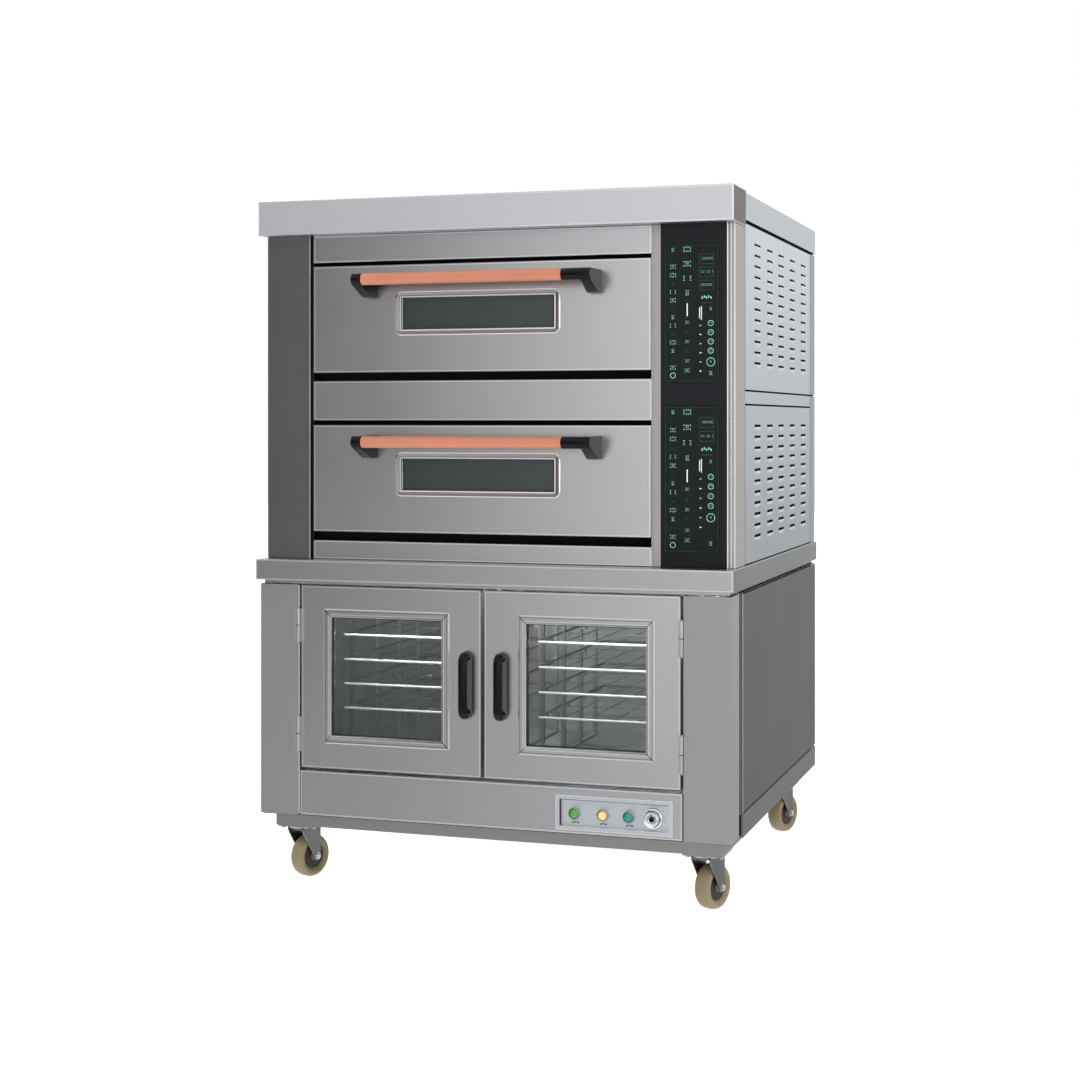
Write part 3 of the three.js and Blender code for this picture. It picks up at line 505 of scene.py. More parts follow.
def louvre_field(shape, sign, z0, z1, rear, rows):
    """A sheet with rows of slots."""
    outer = sign * BODY_HALF
    half, rise = SLOT_LENGTH / 2, SLOT_HEIGHT / 2
    ys = [PANEL_FRONT, *(y + end for y in SLOT_COLUMNS for end in (-half, half)), rear]
    zs = [z0, *(z + end for z in reversed(rows) for end in (-rise, rise)), z1]
    grids = [[[shape.bm.verts.new((x, y, z)) for z in zs] for y in ys] for x in (outer, outer - sign * SHEET)]

    def is_sheet(i, j):
        return 0 <= i < len(ys) - 1 and 0 <= j < len(zs) - 1 and not (i % 2 and j % 2)

    cells = [(i, j) for i in range(len(ys) - 1) for j in range(len(zs) - 1) if is_sheet(i, j)]
    for i, j in cells:
        corners = ((i, j), (i + 1, j), (i + 1, j + 1), (i, j + 1))
        for grid in grids:
            shape.bm.faces.new([grid[a][b] for a, b in corners])
        for k, beside in enumerate(((i, j - 1), (i + 1, j), (i, j + 1), (i - 1, j))):
            if not is_sheet(*beside):
                (a, b), (c, d) = corners[k], corners[(k + 1) % 4]
                shape.bm.faces.new((grids[0][a][b], grids[0][c][d], grids[1][c][d], grids[1][a][b]))


def louvre_lips(shape, sign, rows):
    """A lip pressed out under each slot."""
    outer, root = sign * BODY_HALF, sign * (BODY_HALF - 0.2)
    stations = 9
    for centre in SLOT_COLUMNS:
        for row in rows:
            top = row - SLOT_HEIGHT / 2 + 0.2
            rings = []
            for i in range(stations):
                share = 2 * i / (stations - 1) - 1
                fall = sqrt(1 - share**4) * 0.98 + 0.02
                y = centre + share * (SLOT_LENGTH / 2 + 3)
                lip = [(outer + sign * out * fall, y, top + up * fall) for out, up in LOUVRE_LIP]
                rings.append(shape.ring([(root, y, top), *lip, (root, y, top - LIP_DROP * fall)]))
            shape.skin(rings)


def build_oven_side(side):
    sign = SIDES[side]
    lo, hi = mm_box(f"oven_side_{side}")
    outer = sign * BODY_HALF
    inner = outer - sign * SHEET
    top = hi.z - ROOF_GAP
    panel_rear = STRIP_FRONT - REAR_GAP
    # a near-black sheet behind the louvred sheets, so the slots read dark: painted shade
    shade_sheet = Shape().box(outer - sign * 14, outer - sign * 4, lo.y + 1, hi.y - 1, lo.z + 0.5, hi.z - 0.5)
    shade_sheet.finish(f"side_shade_backing_{side}", "gap_shade", "side_panel", replaces=f"oven_side_{side}")
    bands = {"upper": (TRIM_HIGH, top, 1600, 12, 26.5), "lower": (lo.z, TRIM_LOW, 1154, 11, 27.1)}
    for band, (z0, z1, top_row, count, pitch) in bands.items():
        rows = [top_row - row * pitch for row in range(count)]
        sheet, lips = Shape(), Shape()
        louvre_field(sheet, sign, z0 + SEAM / 2, z1 - SEAM / 2, panel_rear, rows)
        sheet.finish(f"side_panel_{side}_{band}", "side", "side_panel")
        louvre_lips(lips, sign, rows)
        lips.finish(f"side_louvres_{side}_{band}", "louvre_highlight", "side_panel", angle=60)
    trim = Shape().box(inner, outer, PANEL_FRONT, panel_rear, TRIM_LOW + SEAM / 2, TRIM_HIGH - SEAM / 2)
    trim.finish(f"side_trim_{side}", "side", "side_panel", bevel=0.5)
    rear = Shape()
    for z0, z1 in ((TRIM_HIGH + SEAM / 2, top), (lo.z, TRIM_HIGH - SEAM / 2)):
        rear.box(inner, outer, STRIP_FRONT, BACK, z0, z1)
        rear.box(sign * REAR_RETURN, inner - sign * 0.1, BACK - 0.9, BACK, z0, z1)
    rear.finish(f"side_rear_{side}", "side_rear", "side_panel", bevel=0.5)


# --- proofer sides ---

SKIRT_LOW = 172


def build_proofer_side(side):
    """The outer sheet, its rear strip and the skirt, with dark strips of painted shade in the seams between
    them and a painted highlight line at the sheet's front edge.
    """
    sign = SIDES[side]
    front, rear, low, high = walls_lo.y, walls_hi.y, walls_lo.z, walls_hi.z
    seam_rear = STRIP_FRONT - 6.5
    # name, look, inner and outer face, bevel, and each box as y0, y1, z0, z1
    pieces = (
        # painted shade in the seams
        ("seams", "gap_shade", 0.1, 0.5, 0, (
            (front + 0.5, front + 8, low + 1, high - 0.5),
            (STRIP_FRONT - 6, STRIP_FRONT + 4, low + 1, high - 0.5),
            (front + 8.5, seam_rear, high - 6, high - 0.5),
            (front + 8.5, seam_rear, low + 0.5, low + 6),
        )),
        ("panel", "proofer_side", 0.6, 2.2, 0.7, (
            (front + 8, STRIP_FRONT - 3, low + 4, high - 4), (STRIP_FRONT + 1, rear, low + 4, high - 4),
        )),
        ("skirt", "skirt", 0.6, 2.2, 0.9, ((front + 2, rear, SKIRT_LOW, low - 1),)),
        # a painted highlight line along the sheet's front edge
        ("panel_edge_highlight", "highlight_steel", 0.7, 2.4, 0.4, ((front + 3.2, front + 5.4, low + 1, high - 2),)),
    )
    for name, look, inner, outer, bevel, boxes in pieces:
        shape = Shape()
        for box in boxes:
            shape.box(sign * (BODY_HALF + inner), sign * (BODY_HALF + outer), *box)
        shape.finish(f"proofer_{name}_{side}", look, "side_panel", bevel=bevel)


for side in SIDES:
    build_oven_side(side)
    build_proofer_side(side)


# --- oven doors ---

FOLD_HIGHLIGHT = ((2.6, 0.05), (2.7, -0.3), (3.7, -0.3), (3.8, 0.05))  # the profile of a painted highlight line along a fold
OVEN_DOOR_SPAN = (-476, 402)
PROOFER_DOOR_SPANS = {"left": (-493, -15), "right": (-6, 483)}
WORKTOP_BAND = 767  # where the worktop's front band starts


def paint_fold_highlights(node, face, body="root", span=None, low=None):
    """A painted highlight line along a panel's folded edges, just inside its rounded corner.

    span and low give the flat face where pins or flanges make the node's box larger than it.
    """
    lo, hi = mm_box(node)
    line = Shape().frame(*(span or (lo.x, hi.x)), low or lo.z, hi.z, FOLD_HIGHLIGHT, face=face)
    line.finish(f"{node}_folds", "highlight_steel", "stainless", body, angle=40)


# bezel profiles count from the door's face, the seal's from the glass and the others from the door's back
BEZEL_PROFILE = (
    (1.4, -0.1), (1.6, -3.4), (3.0, -4.4), (4.4, -3.8), (6.2, -1.4), (12.0, -0.9), (13.6, -1.4),
    (14.6, 1.2), (16.6, 4.2), (15.2, 4.4), (14.9, -0.1),
)
BEZEL_RIM = ((-0.6, -0.1), (-0.4, -2.6), (0.4, -3.6), (1.7, -3.7), (2.2, -0.1))
BEZEL_LIP = ((11.2, -0.9), (11.4, -2.8), (12.4, -3.4), (13.8, -3.0), (14.2, -0.6))
SEAL = ((0, -0.1), (0.2, -1.2), (2.6, -1.0), (3.4, -0.1))
ROPE_SEAL = ((0, 0.1), (0.6, 3.4), (3, 4.6), (5.4, 3.4), (6, 0.1))
INNER_FRAME = ((0, 0.1), (1, 2), (10, 2), (15, -3), (15.6, -3), (14, 0.1))


def build_oven_door(deck):
    body = f"{deck}_door"
    shell_lo, shell_hi = mm_box(f"{body}_shell")
    pane = mm_box(f"{body}_glass")
    face, back = shell_lo.y, shell_hi.y
    # a painted highlight line along the door's folded edges
    paint_fold_highlights(f"{body}_shell", face, body, OVEN_DOOR_SPAN)
    bezel = around(pane, 14.5, 10.5)
    rope = shell_lo.x + 26, shell_hi.x - 22, shell_lo.z + 16, shell_hi.z - 6
    # name, look, slot, outline, profile, where it counts from, corner radius and steps, sharp angle
    rings = (
        ("door_bezel", "bezel", "stainless", bezel, BEZEL_PROFILE, face, 15, 6, 50),
        # the rim and the lip take the highlight steel: painted highlight lines
        ("door_bezel_rim", "highlight_steel", "stainless", bezel, BEZEL_RIM, face, 15, 6, 50),
        ("door_bezel_lip", "highlight_steel", "stainless", bezel, BEZEL_LIP, face, 15, 6, 50),
        ("glass_seal", "gasket", BLACK, around(pane, -0.6), SEAL, pane[0].y, 0, 4, 32),
        ("door_rope_seal", "gasket", BLACK, rope, ROPE_SEAL, back, 12, 4, 60),
        ("door_inner_frame", "liner", "liner", around(pane, 16), INNER_FRAME, back, 6, 4, 50),
    )
    for name, look, slot, outline, profile, start, radius, steps, angle in rings:
        ring = Shape().frame(*outline, profile, radius, steps, start)
        ring.finish(f"{deck}_{name}", look, slot, body, angle=angle)
    screws = Shape()
    x0, x1, z0, z1 = around(pane, 10)
    for x in (x0, (x0 + x1) / 2, x1):
        for z in (z0, z1):
            screws.screw("y", x, z, back + 2, 1, 3.2)
    screws.finish(f"{body}_inner_screws", "screw", "zinc", body)


def build_front_gaps():
    """Painted shadow strips in the gaps beside the doors, each with a painted highlight line on the frame's
    folded edge next to it.
    """
    top, bottom = mm_box("top_fascia")[1].z, mm_box("bottom_fascia")[0].z
    post_lo, post_hi = mm_box("proofer_left_post")
    dark = Shape().box(-489.6, -479.2, 46, 47, bottom, top).box(592.3, 593.8, 39.5, 40.0, bottom, top)
    edges = Shape().box(post_hi.x + 0.2, post_hi.x + 3.4, 0.6, 5, post_lo.z + 4, post_hi.z - 2)
    for x0, x1 in ((-489.4, -487.6), (403.2, 404.6)):
        edges.box(x0, x1, 38.8, 45.8, bottom, top)
    for x in (585.7, 594.0, 603.2):
        edges.box(x, x + 2.0, 39.4, 40.0, bottom, top)
    dark.finish("door_gap_shadow", "gap_shade", "black_panel")
    edges.finish("door_gap_highlights", "highlight_steel", "stainless", bevel=0.4)


build_front_gaps()
# painted highlight lines along the folds of the cap, the fascias and the worktop
for name in ("front_cornice", "top_fascia", "middle_fascia", "bottom_fascia", "lower_fascia"):
    paint_fold_highlights(name, mm_box(name)[0].y)
paint_fold_highlights("worktop", mm_box("worktop")[0].y, low=WORKTOP_BAND)

GRIP_RADIUS = 14.5


def build_oven_handle(deck):
    body = f"{deck}_door"
    frame_lo, frame_hi = mm_box(f"{deck}_handle_frame")
    grip_lo, grip_hi = mm_box(f"{deck}_handle_grip")
    y, z = (grip_lo.y + grip_hi.y) / 2, (grip_lo.z + grip_hi.z) / 2
    r = GRIP_RADIUS
    foot = frame_hi.y
    width, flare = 24.0, 0.3  # of the arms, which widen toward the foot
    a, b, end = grip_lo.x, grip_hi.x, frame_hi.x - width
    bar = [(8.4, a), (r - 1, a), (r, a + 1), (r, b - 1), (r - 1, b), (8.4, b)]
    grip = Shape().lathe(bar, "x", y, z, 48, True)
    grip.finish(f"{deck}_handle_tube", "grip", "grip", body, replaces=f"{deck}_handle_grip")

    arms = Shape()
    outline = [(foot, z + 16.5), *arc(y, z, r, 90, 250, 10)]
    outline += [(0, z - 37), (8, z - 40.5), (26, z - 40.5), (foot, z - 37)]
    for fixed, sign in ((frame_lo.x, 1), (frame_hi.x, -1)):
        inner = []
        for u, v in outline:
            reach = min(1.0, max(0.0, (u - y) / (foot - y)))
            inner.append((fixed + sign * width * (1 + flare * reach), u, v))
        arms.skin([arms.ring([(fixed, u, v) for u, v in outline]), arms.ring(inner)])
    arms.finish(
        f"{deck}_handle_arms", "black", BLACK, body, f"{deck}_handle_frame", bevel=1.6, steps=3
    )
    sleeve = Shape().lathe(
        [(8.6, b + 0.4), (r - 0.6, b + 0.4), (r, b + 1.4), (r, end + 1), (8.6, end + 1)], "x", y, z, 48, True
    )
    sleeve.lathe(hoop(0, 8, frame_lo.x + width - 1, end + 1), "x", y, z, 24)
    sleeve.finish(f"{deck}_handle_sleeve", "black", BLACK, body)
    collar = Shape().lathe(hoop(r - 1, r + 0.5, end - 3, end - 1), "x", y, z, 48, True)
    collar.finish(f"{deck}_handle_ring", "black", BLACK, body, bevel=0.3)


for deck in DECKS:
    build_oven_door(deck)
    build_oven_handle(deck)


# --- proofer doors ---

GLAZING_PROFILE = (
    (1.2, -0.1), (1.4, -2.6), (2.6, -3.2), (12.4, -3.2), (13.2, -2.2), (14.4, -2.2), (15.2, -3.2),
    (17.4, -3.0), (18.2, -1.0), (20.6, 5.0), (20.6, 8.0), (18.8, 8.0), (18.4, -0.1),
)
# rim, bead and lip are painted highlight lines; the groove is a painted shade line
GLAZING_EDGES = (
    ("rim", ((0, -0.1), (0.1, -1.6), (0.9, -2.2), (1.1, -0.1)), "highlight_steel"),
    ("groove", ((4.4, -3.1), (4.5, -3.5), (5.5, -3.5), (5.6, -3.1)), "gasket"),
    ("bead", ((12.6, -2.5), (12.8, -3.9), (14.2, -3.9), (14.4, -2.1)), "highlight_steel"),
    ("lip", ((18.3, -0.9), (18.6, -2.4), (19.6, -2.2), (20.2, 2.0)), "highlight_steel"),
)
MITRE = (1.0, 17.8)  # how far in from the glazing frame's corner each dark mitre line of painted shade starts and ends


GLASS_SEAL = ((0, 9.9), (0.2, 8.4), (3.4, 8.6), (4.2, 9.9))
GASKET = ((0, 30.1), (0, 33), (2, 35.5), (8, 35.5), (10, 33), (10, 30.1))
GASKET_LIMITS = (-488, 478)


def build_proofer_door(side):
    body = f"proofer_{side}_door"
    lo, hi = mm_box(f"{body}_shell")
    pane = mm_box(f"{body}_glass")
    # a painted highlight line along the door's folded edges
    paint_fold_highlights(f"{body}_shell", 0.0, body, PROOFER_DOOR_SPANS[side])
    outer = around(pane, 18.5)
    for name, profile, look in (("frame", GLAZING_PROFILE, "panel"), *GLAZING_EDGES):
        line = Shape().frame(*outer, profile)
        line.finish(f"{body}_glazing_{name}", look, "stainless", body, angle=25)
    # dark lines of painted shade in the frame's mitres
    mitres = Shape()
    a, b = MITRE
    half = 0.45
    ends = ((a - half, a + half), (b - half, b + half), (b + half, b - half), (a + half, a - half))
    for x, sx in ((outer[0], 1), (outer[1], -1)):
        for z, sz in ((outer[2], 1), (outer[3], -1)):
            mitres.prism([(x + sx * u, z + sz * v) for u, v in ends], "y", -4.1, -2.0)
    mitres.finish(f"{body}_glazing_mitres", "gap_shade", BLACK, body)
    seal = Shape().frame(*around(pane, -0.4), GLASS_SEAL)
    seal.finish(f"{body}_glass_seal", "gasket", BLACK, body)
    x0, x1, _, _ = around(pane, 80)
    low, high = GASKET_LIMITS
    gasket = Shape().frame(max(x0, low), min(x1, high), lo.z + 8, hi.z - 8, GASKET, radius=8)
    gasket.finish(f"{body}_gasket", "gasket", BLACK, body, angle=50)


PULL_FOOT = ((0, -0.3), (0, -4), (2, -7), (9.2, -7.5), (9.2, -0.3))
PULL_PLATE = ((0, -0.1), (0.2, -1.4), (1.2, -2.0), (10.9, -2.0), (10.9, -0.1))


def build_proofer_handle(side):
    body = f"proofer_{side}_door"
    box = mm_box(f"{body}_handle")
    lo, hi = box
    x, z = middle_of(box)
    half = (hi.z - lo.z) / 2
    bend, bar, widening = 17.0, 8.6, 1.32
    depth = -lo.y - bar - bend
    low = z - half + bar + 1
    path = [(x, -0.4, low), (x, -depth, low)]
    for turn in (radians(angle) for angle in range(15, 91, 15)):
        path.append((x, -depth - bend * sin(turn), low + bend - bend * cos(turn)))
    path += [(px, py, 2 * z - pz) for px, py, pz in reversed(path)]
    handle = Shape().tube(path, bar, 20)
    for vertex in handle.bm.verts:
        vertex.co.x = x + (vertex.co.x - x) * widening
    for end in (-1, 1):
        foot = z + end * (half - 12)
        handle.frame(x - 10, x + 10, foot - 12, foot + 12, PULL_FOOT, radius=9.6, steps=5)
    plate = Shape().frame(x - 11, x + 11, lo.z + 1, hi.z - 1, PULL_PLATE, radius=10.5, steps=6)
    plate.finish(f"{body}_pull_plate", "pull_plate", BLACK, body, angle=50)
    handle.finish(f"{body}_pull", "black", BLACK, body, f"{body}_handle", angle=45)


for side in SIDES:
    build_proofer_door(side)
    build_proofer_handle(side)


# --- touch panels ---


MARK = 0.3  # how far the marks stand out


def mark_ring(shape, x, y, z, radius, width):
    shape.lathe(hoop(radius - width, radius, y - MARK, y), "y", x, z, 20, True)


def mark_bar(shape, x, y, z, width, height):
    shape.box(x - width / 2, x + width / 2, y - MARK, y, z - height / 2, z + height / 2)


def mark_outline(shape, x, y, z, width, height, line):
    shape.frame(x - width / 2, x + width / 2, z - height / 2, z + height / 2, hoop(0, line, y - MARK, y))


def mark_icon(shape, x, y, z, size, seed):
    """An abstract pictogram of short strokes, the same on its left and right."""
    step = size / 3.5
    for row in range(4):
        for column in range(2):
            kind = (seed * (7 + 3 * row) + 5 * column * (row + 1)) % 4
            if kind:
                width, height = step * (0.9, 0.32, 1.1)[kind - 1], step * (0.26, 0.8, 0.2)[kind - 1]
                for side in (-1, 1):
                    middle = x + side * step * (0.45 + 1.15 * column)
                    mark_bar(shape, middle, y, z + (1.5 - row) * step, width, height)


def build_touch_marks(deck):
    lo, hi = mm_box(f"touch_panel_{deck}")
    y = lo.y - 0.05
    width, height = hi.x - lo.x, hi.z - lo.z

    def at(across, down):
        return lo.x + across * width, y, hi.z - down * height

    green, dim, white = Shape(), Shape(), Shape()
    mark_outline(dim, *at(0.5, 0.5), width - 5, height - 5, 0.5)
    for i in range(15):
        faint = i % 3 == 1
        mark_icon(dim if faint else green, *at(0.16, 0.045 + 0.061 * i), 8 if faint else 13, 3 * i + 1)
    mark_ring(green, *at(0.16, 0.95), 7, 1.5)
    for i in range(4):
        mark_icon(green, *at(0.42, 0.045 + 0.105 * i), 17, 5 * i + 2)
    mark_bar(white, *at(0.42, 0.475), 2.6, 30)
    for i in range(6):
        mark_icon(dim if i in (1, 3) else green, *at(0.42, 0.57 + 0.07 * i), 9 + 2 * (i == 5), 4 * i + 3)
    boxes = 3 if deck == "upper" else 2
    for i in range(boxes):
        down = 0.11 + 0.095 * i
        mark_outline(dim, *at(0.77, down), 34, 24, 1.0)
        for k in range(4):
            mark_icon(green, *at(0.70 + 0.05 * k, down), 7, 2 * k + i + 1)
    words = 0.105 + 0.095 * boxes
    for k in range(5):
        mark_bar(green, *at(0.69 + 0.04 * k, words - 0.008 * (k % 2)), 3.4, 5)
        mark_bar(dim, *at(0.69 + 0.04 * k, words + 0.035), 3.6, 2)
    for side, length in ((-1, 26), (1, 32)):
        x, _, z = at(0.66, words + 0.11)
        mark_bar(white, x + 2.2 * side, y, z, 1.9, length)
    mark_icon(green, *at(0.845, words + 0.085), 11, 5)
    for i in range(6):
        mark_bar(white if i % 2 else green, *at(0.66, words + 0.2 + 0.066 * i), 4.4, 2.2)
    for i in range(5):
        large = i == 4
        place = at(0.845, words + 0.185 + 0.066 * i + 0.015 * large)
        mark_ring(green, *place, 10.5 if large else 7, 1.5)
        mark_icon(green, *place, 8 if large else 6, 2 * i + 1)
    mark_icon(green, *at(0.845, 0.94), 14, 9)
    for shape, name, look in (
        (green, "marks", "mark"), (dim, "lines", "mark_dim"), (white, "marks_white", "mark_white"),
    ):
        shape.finish(f"touch_{name}_{deck}", look, "touch_panel", angle=60)


for deck in DECKS:
    build_touch_marks(deck)


# --- push buttons, knob and their collars ---


BUTTON_CAP = ((4, 0.2), (8, 1.1), (10, 2.3), (10.9, 4))  # radius, and how far it lies behind the front
COLLAR = (
    (13.6, 5.9), (13.6, -5.2), (14.4, -6.4), (13.4, -8.2), (12.2, -8.4), (11.5, -7.2), (11.5, -6.2),
    (13.55, -6.1),
)
KNOB = (
    (0, -9), (5.5, -9), (6, -10.5), (6.4, -14.6), (8.2, -16.4), (14.6, -16.8), (16.4, -15.2), (17.4, -11),
    (18, -3.8), (19.4, -3), (21.4, -3.6), (23.2, -2.4), (24, 0), (24, 4.4), (5, 4.4),
)
KNOB_CORE = ((0, -12.4), (2.2, -12.4), (5.2, -11), (5.6, -9.2), (0, -9.1))
PLATE_RIM = 10.0
# the painted highlight lines along the plate's rim
PLATE_HIGHLIGHTS = ((-0.4, 2, (-2.1, -3.2, 1.6, 1.8)), (1.4 - PLATE_RIM, 0, (-2.1, -2.8, 1.0, 1.2)))


def build_button(colour):
    node = f"push_button_{colour}"
    lo, hi = mm_box(node)
    x, z = middle_of((lo, hi))
    dome = [(radius, lo.y + depth) for radius, depth in BUTTON_CAP]
    cap = Shape().lathe([(0, lo.y), *dome, (11, 2), (6, 2), (6, hi.y), (0, hi.y)], "y", x, z, 40)
    cap.finish(f"button_cap_{colour}", colour, f"lens_{colour}", f"button_{colour}", node, angle=50)
    collar = Shape().lathe(COLLAR, "y", x, z, 40, True)
    collar.finish(f"button_collar_{colour}", "zinc", BLACK, angle=40)
    marks = Shape()
    for k in range(3):
        marks.box(x - 9 + 6.4 * k, x - 4.6 + 6.4 * k, 5.6, 5.95, z - 24 + (k % 2), z - 20.5 + (k % 2))
    marks.finish(f"button_mark_{colour}", "ink", BLACK)


def build_control_plate():
    """Painted shadow inside the plate's raised rim, and painted highlight lines along it."""
    plate = mm_box("control_plate")
    x0, x1, z0, z1 = around(plate, -PLATE_RIM)
    wall = Shape().box(x0 + 0.1, x0 + 1.1, -1.9, 5.9, z0 + 1, z1 - 1)
    wall.box(x0 + 0.1, x1 - 0.1, -1.9, 5.9, z1 - 1.1, z1 - 0.1)
    wall.finish("control_plate_shadow", "gasket", BLACK)
    lip = Shape()
    for out, radius, (foot, top, inset, width) in PLATE_HIGHLIGHTS:
        lip.frame(*around(plate, out), [(0, foot), (0.2, top), (inset, top), (width, foot)], radius)
    lip.finish("control_plate_highlight", "highlight_steel", "stainless")


def build_knob():
    box = mm_box("control_knob")
    x, z = middle_of(box)
    knob = Shape().lathe([*KNOB, (5, box[1].y), (0, box[1].y)], "y", x, z, 48)
    knob.finish("knob_body", "chrome", "chrome", "knob", "control_knob", angle=28)
    Shape().lathe(KNOB_CORE, "y", x, z, 32).finish("knob_core", "black", BLACK, "knob", angle=40)
    pointer = Shape().box(x - 1.2, x + 1.2, -17.3, -16.7, z + 8.8, z + 14.6)
    pointer.finish("knob_pointer", "ink", BLACK, "knob")
    shade_rings, dots = Shape(), Shape()
    # dark rings of painted shade in the knob's grooves
    for radius, y in ((18.6, -3.7), (8.6, -16.6)):
        shade_rings.lathe(hoop(radius - 0.6, radius + 0.6, y - 0.4, y + 0.3), "y", x, z, 48, True)
    shade_rings.finish("knob_groove_shade", "gasket", BLACK, "knob")
    for cx, cz in arc(x, z, 29, -45, 226, 27):
        dots.lathe(hoop(0, 0.9, 5.6, 5.95), "y", cx, cz, 10)
    dots.finish("knob_scale_dots", "ink", BLACK)


for colour in ("green", "yellow", "teal"):
    build_button(colour)
build_control_plate()
build_knob()


# --- shelves ---


def build_shelf(side, level):
    node = f"shelf_{side}_{level}"
    lo, hi = mm_box(node)
    z = (lo.z + hi.z) / 2
    x0, x1, y0, y1 = lo.x + 3.2, hi.x - 3.2, lo.y + 3.2, hi.y - 3.2
    shelf = Shape()
    # the frame and grid take the shaded copy of the wire, the front rod the lit copy: painted light
    shelf.tube([(x, y, z) for x, y in rounded_rect(x0, x1, y0, y1, 10, 5)], 3.0, 12, True)
    shelf.finish(f"wire_{node}", "wire_shaded", "wire", replaces=node, angle=60)
    rod = Shape().tube([(x0 + 6, y0, z), (x1 - 6, y0, z)], 3.2, 14)
    rod.finish(f"rod_{node}", "wire", "wire", angle=60)
    grid = Shape()
    wires = 6
    for i in range(1, wires):
        x = x0 + (x1 - x0) * i / wires
        grid.tube([(x, y0 + 1, z - 0.6), (x, y1 - 1, z - 0.6)], 1.0, 8)
    for share in (0.33, 0.66):
        y = y0 + (y1 - y0) * share
        grid.tube([(x0 + 1, y, z + 1.2), (x1 - 1, y, z + 1.2)], 1.0, 8)
    grid.finish(f"grid_{node}", "wire_shaded", "wire", angle=60)


for side in SIDES:
    for level in range(1, 5):
        build_shelf(side, level)


# --- castors ---

TRAIL = 22
SWIVEL = radians(-20)
WHEEL_Z = 54


FORK_SIDE = (
    (-32, 131), (-32, 127), (-29, 118), (TRAIL - 13, WHEEL_Z + 3), *arc(TRAIL, WHEEL_Z, 12, 195, 361, 15),
    (34, 118), (35, 127), (35, 131),
)
AXLE_END = ((0, 27.5), (8.6, 27.5), (8.6, 29), (6.6, 29.2), (6.6, 33), (4.2, 34), (0, 34))
RACE = ((0, 131.4), (36, 131.4), (39, 132.2), (40, 133.6), (39, 135.2), (34, 136.2), (0, 136.2))
PLATE_BOLT = ((0, 137.9), (8, 137.9), (8, 136.8), (6.2, 136.6), (6.2, 132.4), (4.4, 131.6), (0, 131.6))
HALF_TYRE = (
    (4.8, 20), (11, 20), (11.6, 19), (12, 15), (33, 13.4), (35.4, 14.6), (37, 18.2), (41, 20.4),
    (45, 20.8), (48.6, 19.4), (51.4, 16.2), (53.2, 11), (53.9, 5),
)
HUB = ((13, 15.4), (32.6, 13.9), (32.6, 14.6), (28, 15.4), (16, 16.8), (13, 16.8))


def build_castor(place):
    wheel_lo, wheel_hi = mm_box(f"castor_wheel_{place}")
    cx = (wheel_lo.x + wheel_hi.x) / 2 + TRAIL * sin(SWIVEL)
    cy = (wheel_lo.y + wheel_hi.y) / 2 - TRAIL * cos(SWIVEL)
    under = Matrix.Translation((cx, cy, 0))
    turn = under @ Matrix.Rotation(SWIVEL, 4, "Z")
    body, wheel = f"castor_{place}", f"wheel_{place}"

    def across(shape, profile, sign, sides, closed=False):
        """Turns a (radius, distance from the wheel's middle) profile about the axle."""
        return shape.lathe([(r, sign * out) for r, out in profile], "x", TRAIL, WHEEL_Z, sides, closed)

    fork, axle, bolts, hub = Shape(), Shape(), Shape(), Shape()
    for sign in (-1, 1):
        fork.prism(FORK_SIDE, "x", *sorted((sign * 24.6, sign * 27.4)))
        across(axle, AXLE_END, sign, 6 if sign < 0 else 12)
        across(hub, HUB, sign, 48, True)
    fork.box(-27.4, 27.4, -32, 35, 127.4, 131)
    fork.finish(
        f"castor_yoke_{place}", "fork", "zinc", body, f"castor_fork_{place}", bevel=1.2, steps=3, at=turn
    )
    across(axle, hoop(0, 4, -26, 26), 1, 20)
    axle.finish(f"castor_axle_{place}", "screw", "zinc", body, angle=30, at=turn)
    # the race and the plate take the highlight steel: painted highlight
    race = Shape().lathe(RACE, "z", 0, 0, 40)
    race.finish(f"castor_race_{place}", "highlight_steel", "zinc", body, angle=50, at=turn)

    plate = Shape().box(-51, 51, -43, 43, 138.2, 142.6)
    plate.finish(f"castor_plate_{place}", "highlight_steel", "zinc", bevel=1.0, at=under)
    for x in (-41, 41):
        for y in (-33, 33):
            bolts.lathe(PLATE_BOLT, "z", x, y, 6)
    bolts.finish(f"castor_bolts_{place}", "screw", "zinc", at=under)

    section = [(r, -out) for r, out in HALF_TYRE] + [*reversed(HALF_TYRE)]
    tyre = across(Shape(), section, 1, 64, True)
    tyre.finish(f"castor_tyre_{place}", "tyre", "tyre", wheel, f"castor_wheel_{place}", angle=45, at=turn)
    hub.finish(f"castor_hub_{place}", "hub", "tyre", wheel, angle=35, at=turn)


for place in ("front_left", "front_right", "rear_left", "rear_right"):
    build_castor(place)


# --- proofer hinges ---


HINGE_X = {"left": -500.5, "right": 486.5}
HINGE_Y = -5.6
HINGE_SPANS = ((340, 427), (614, 697))


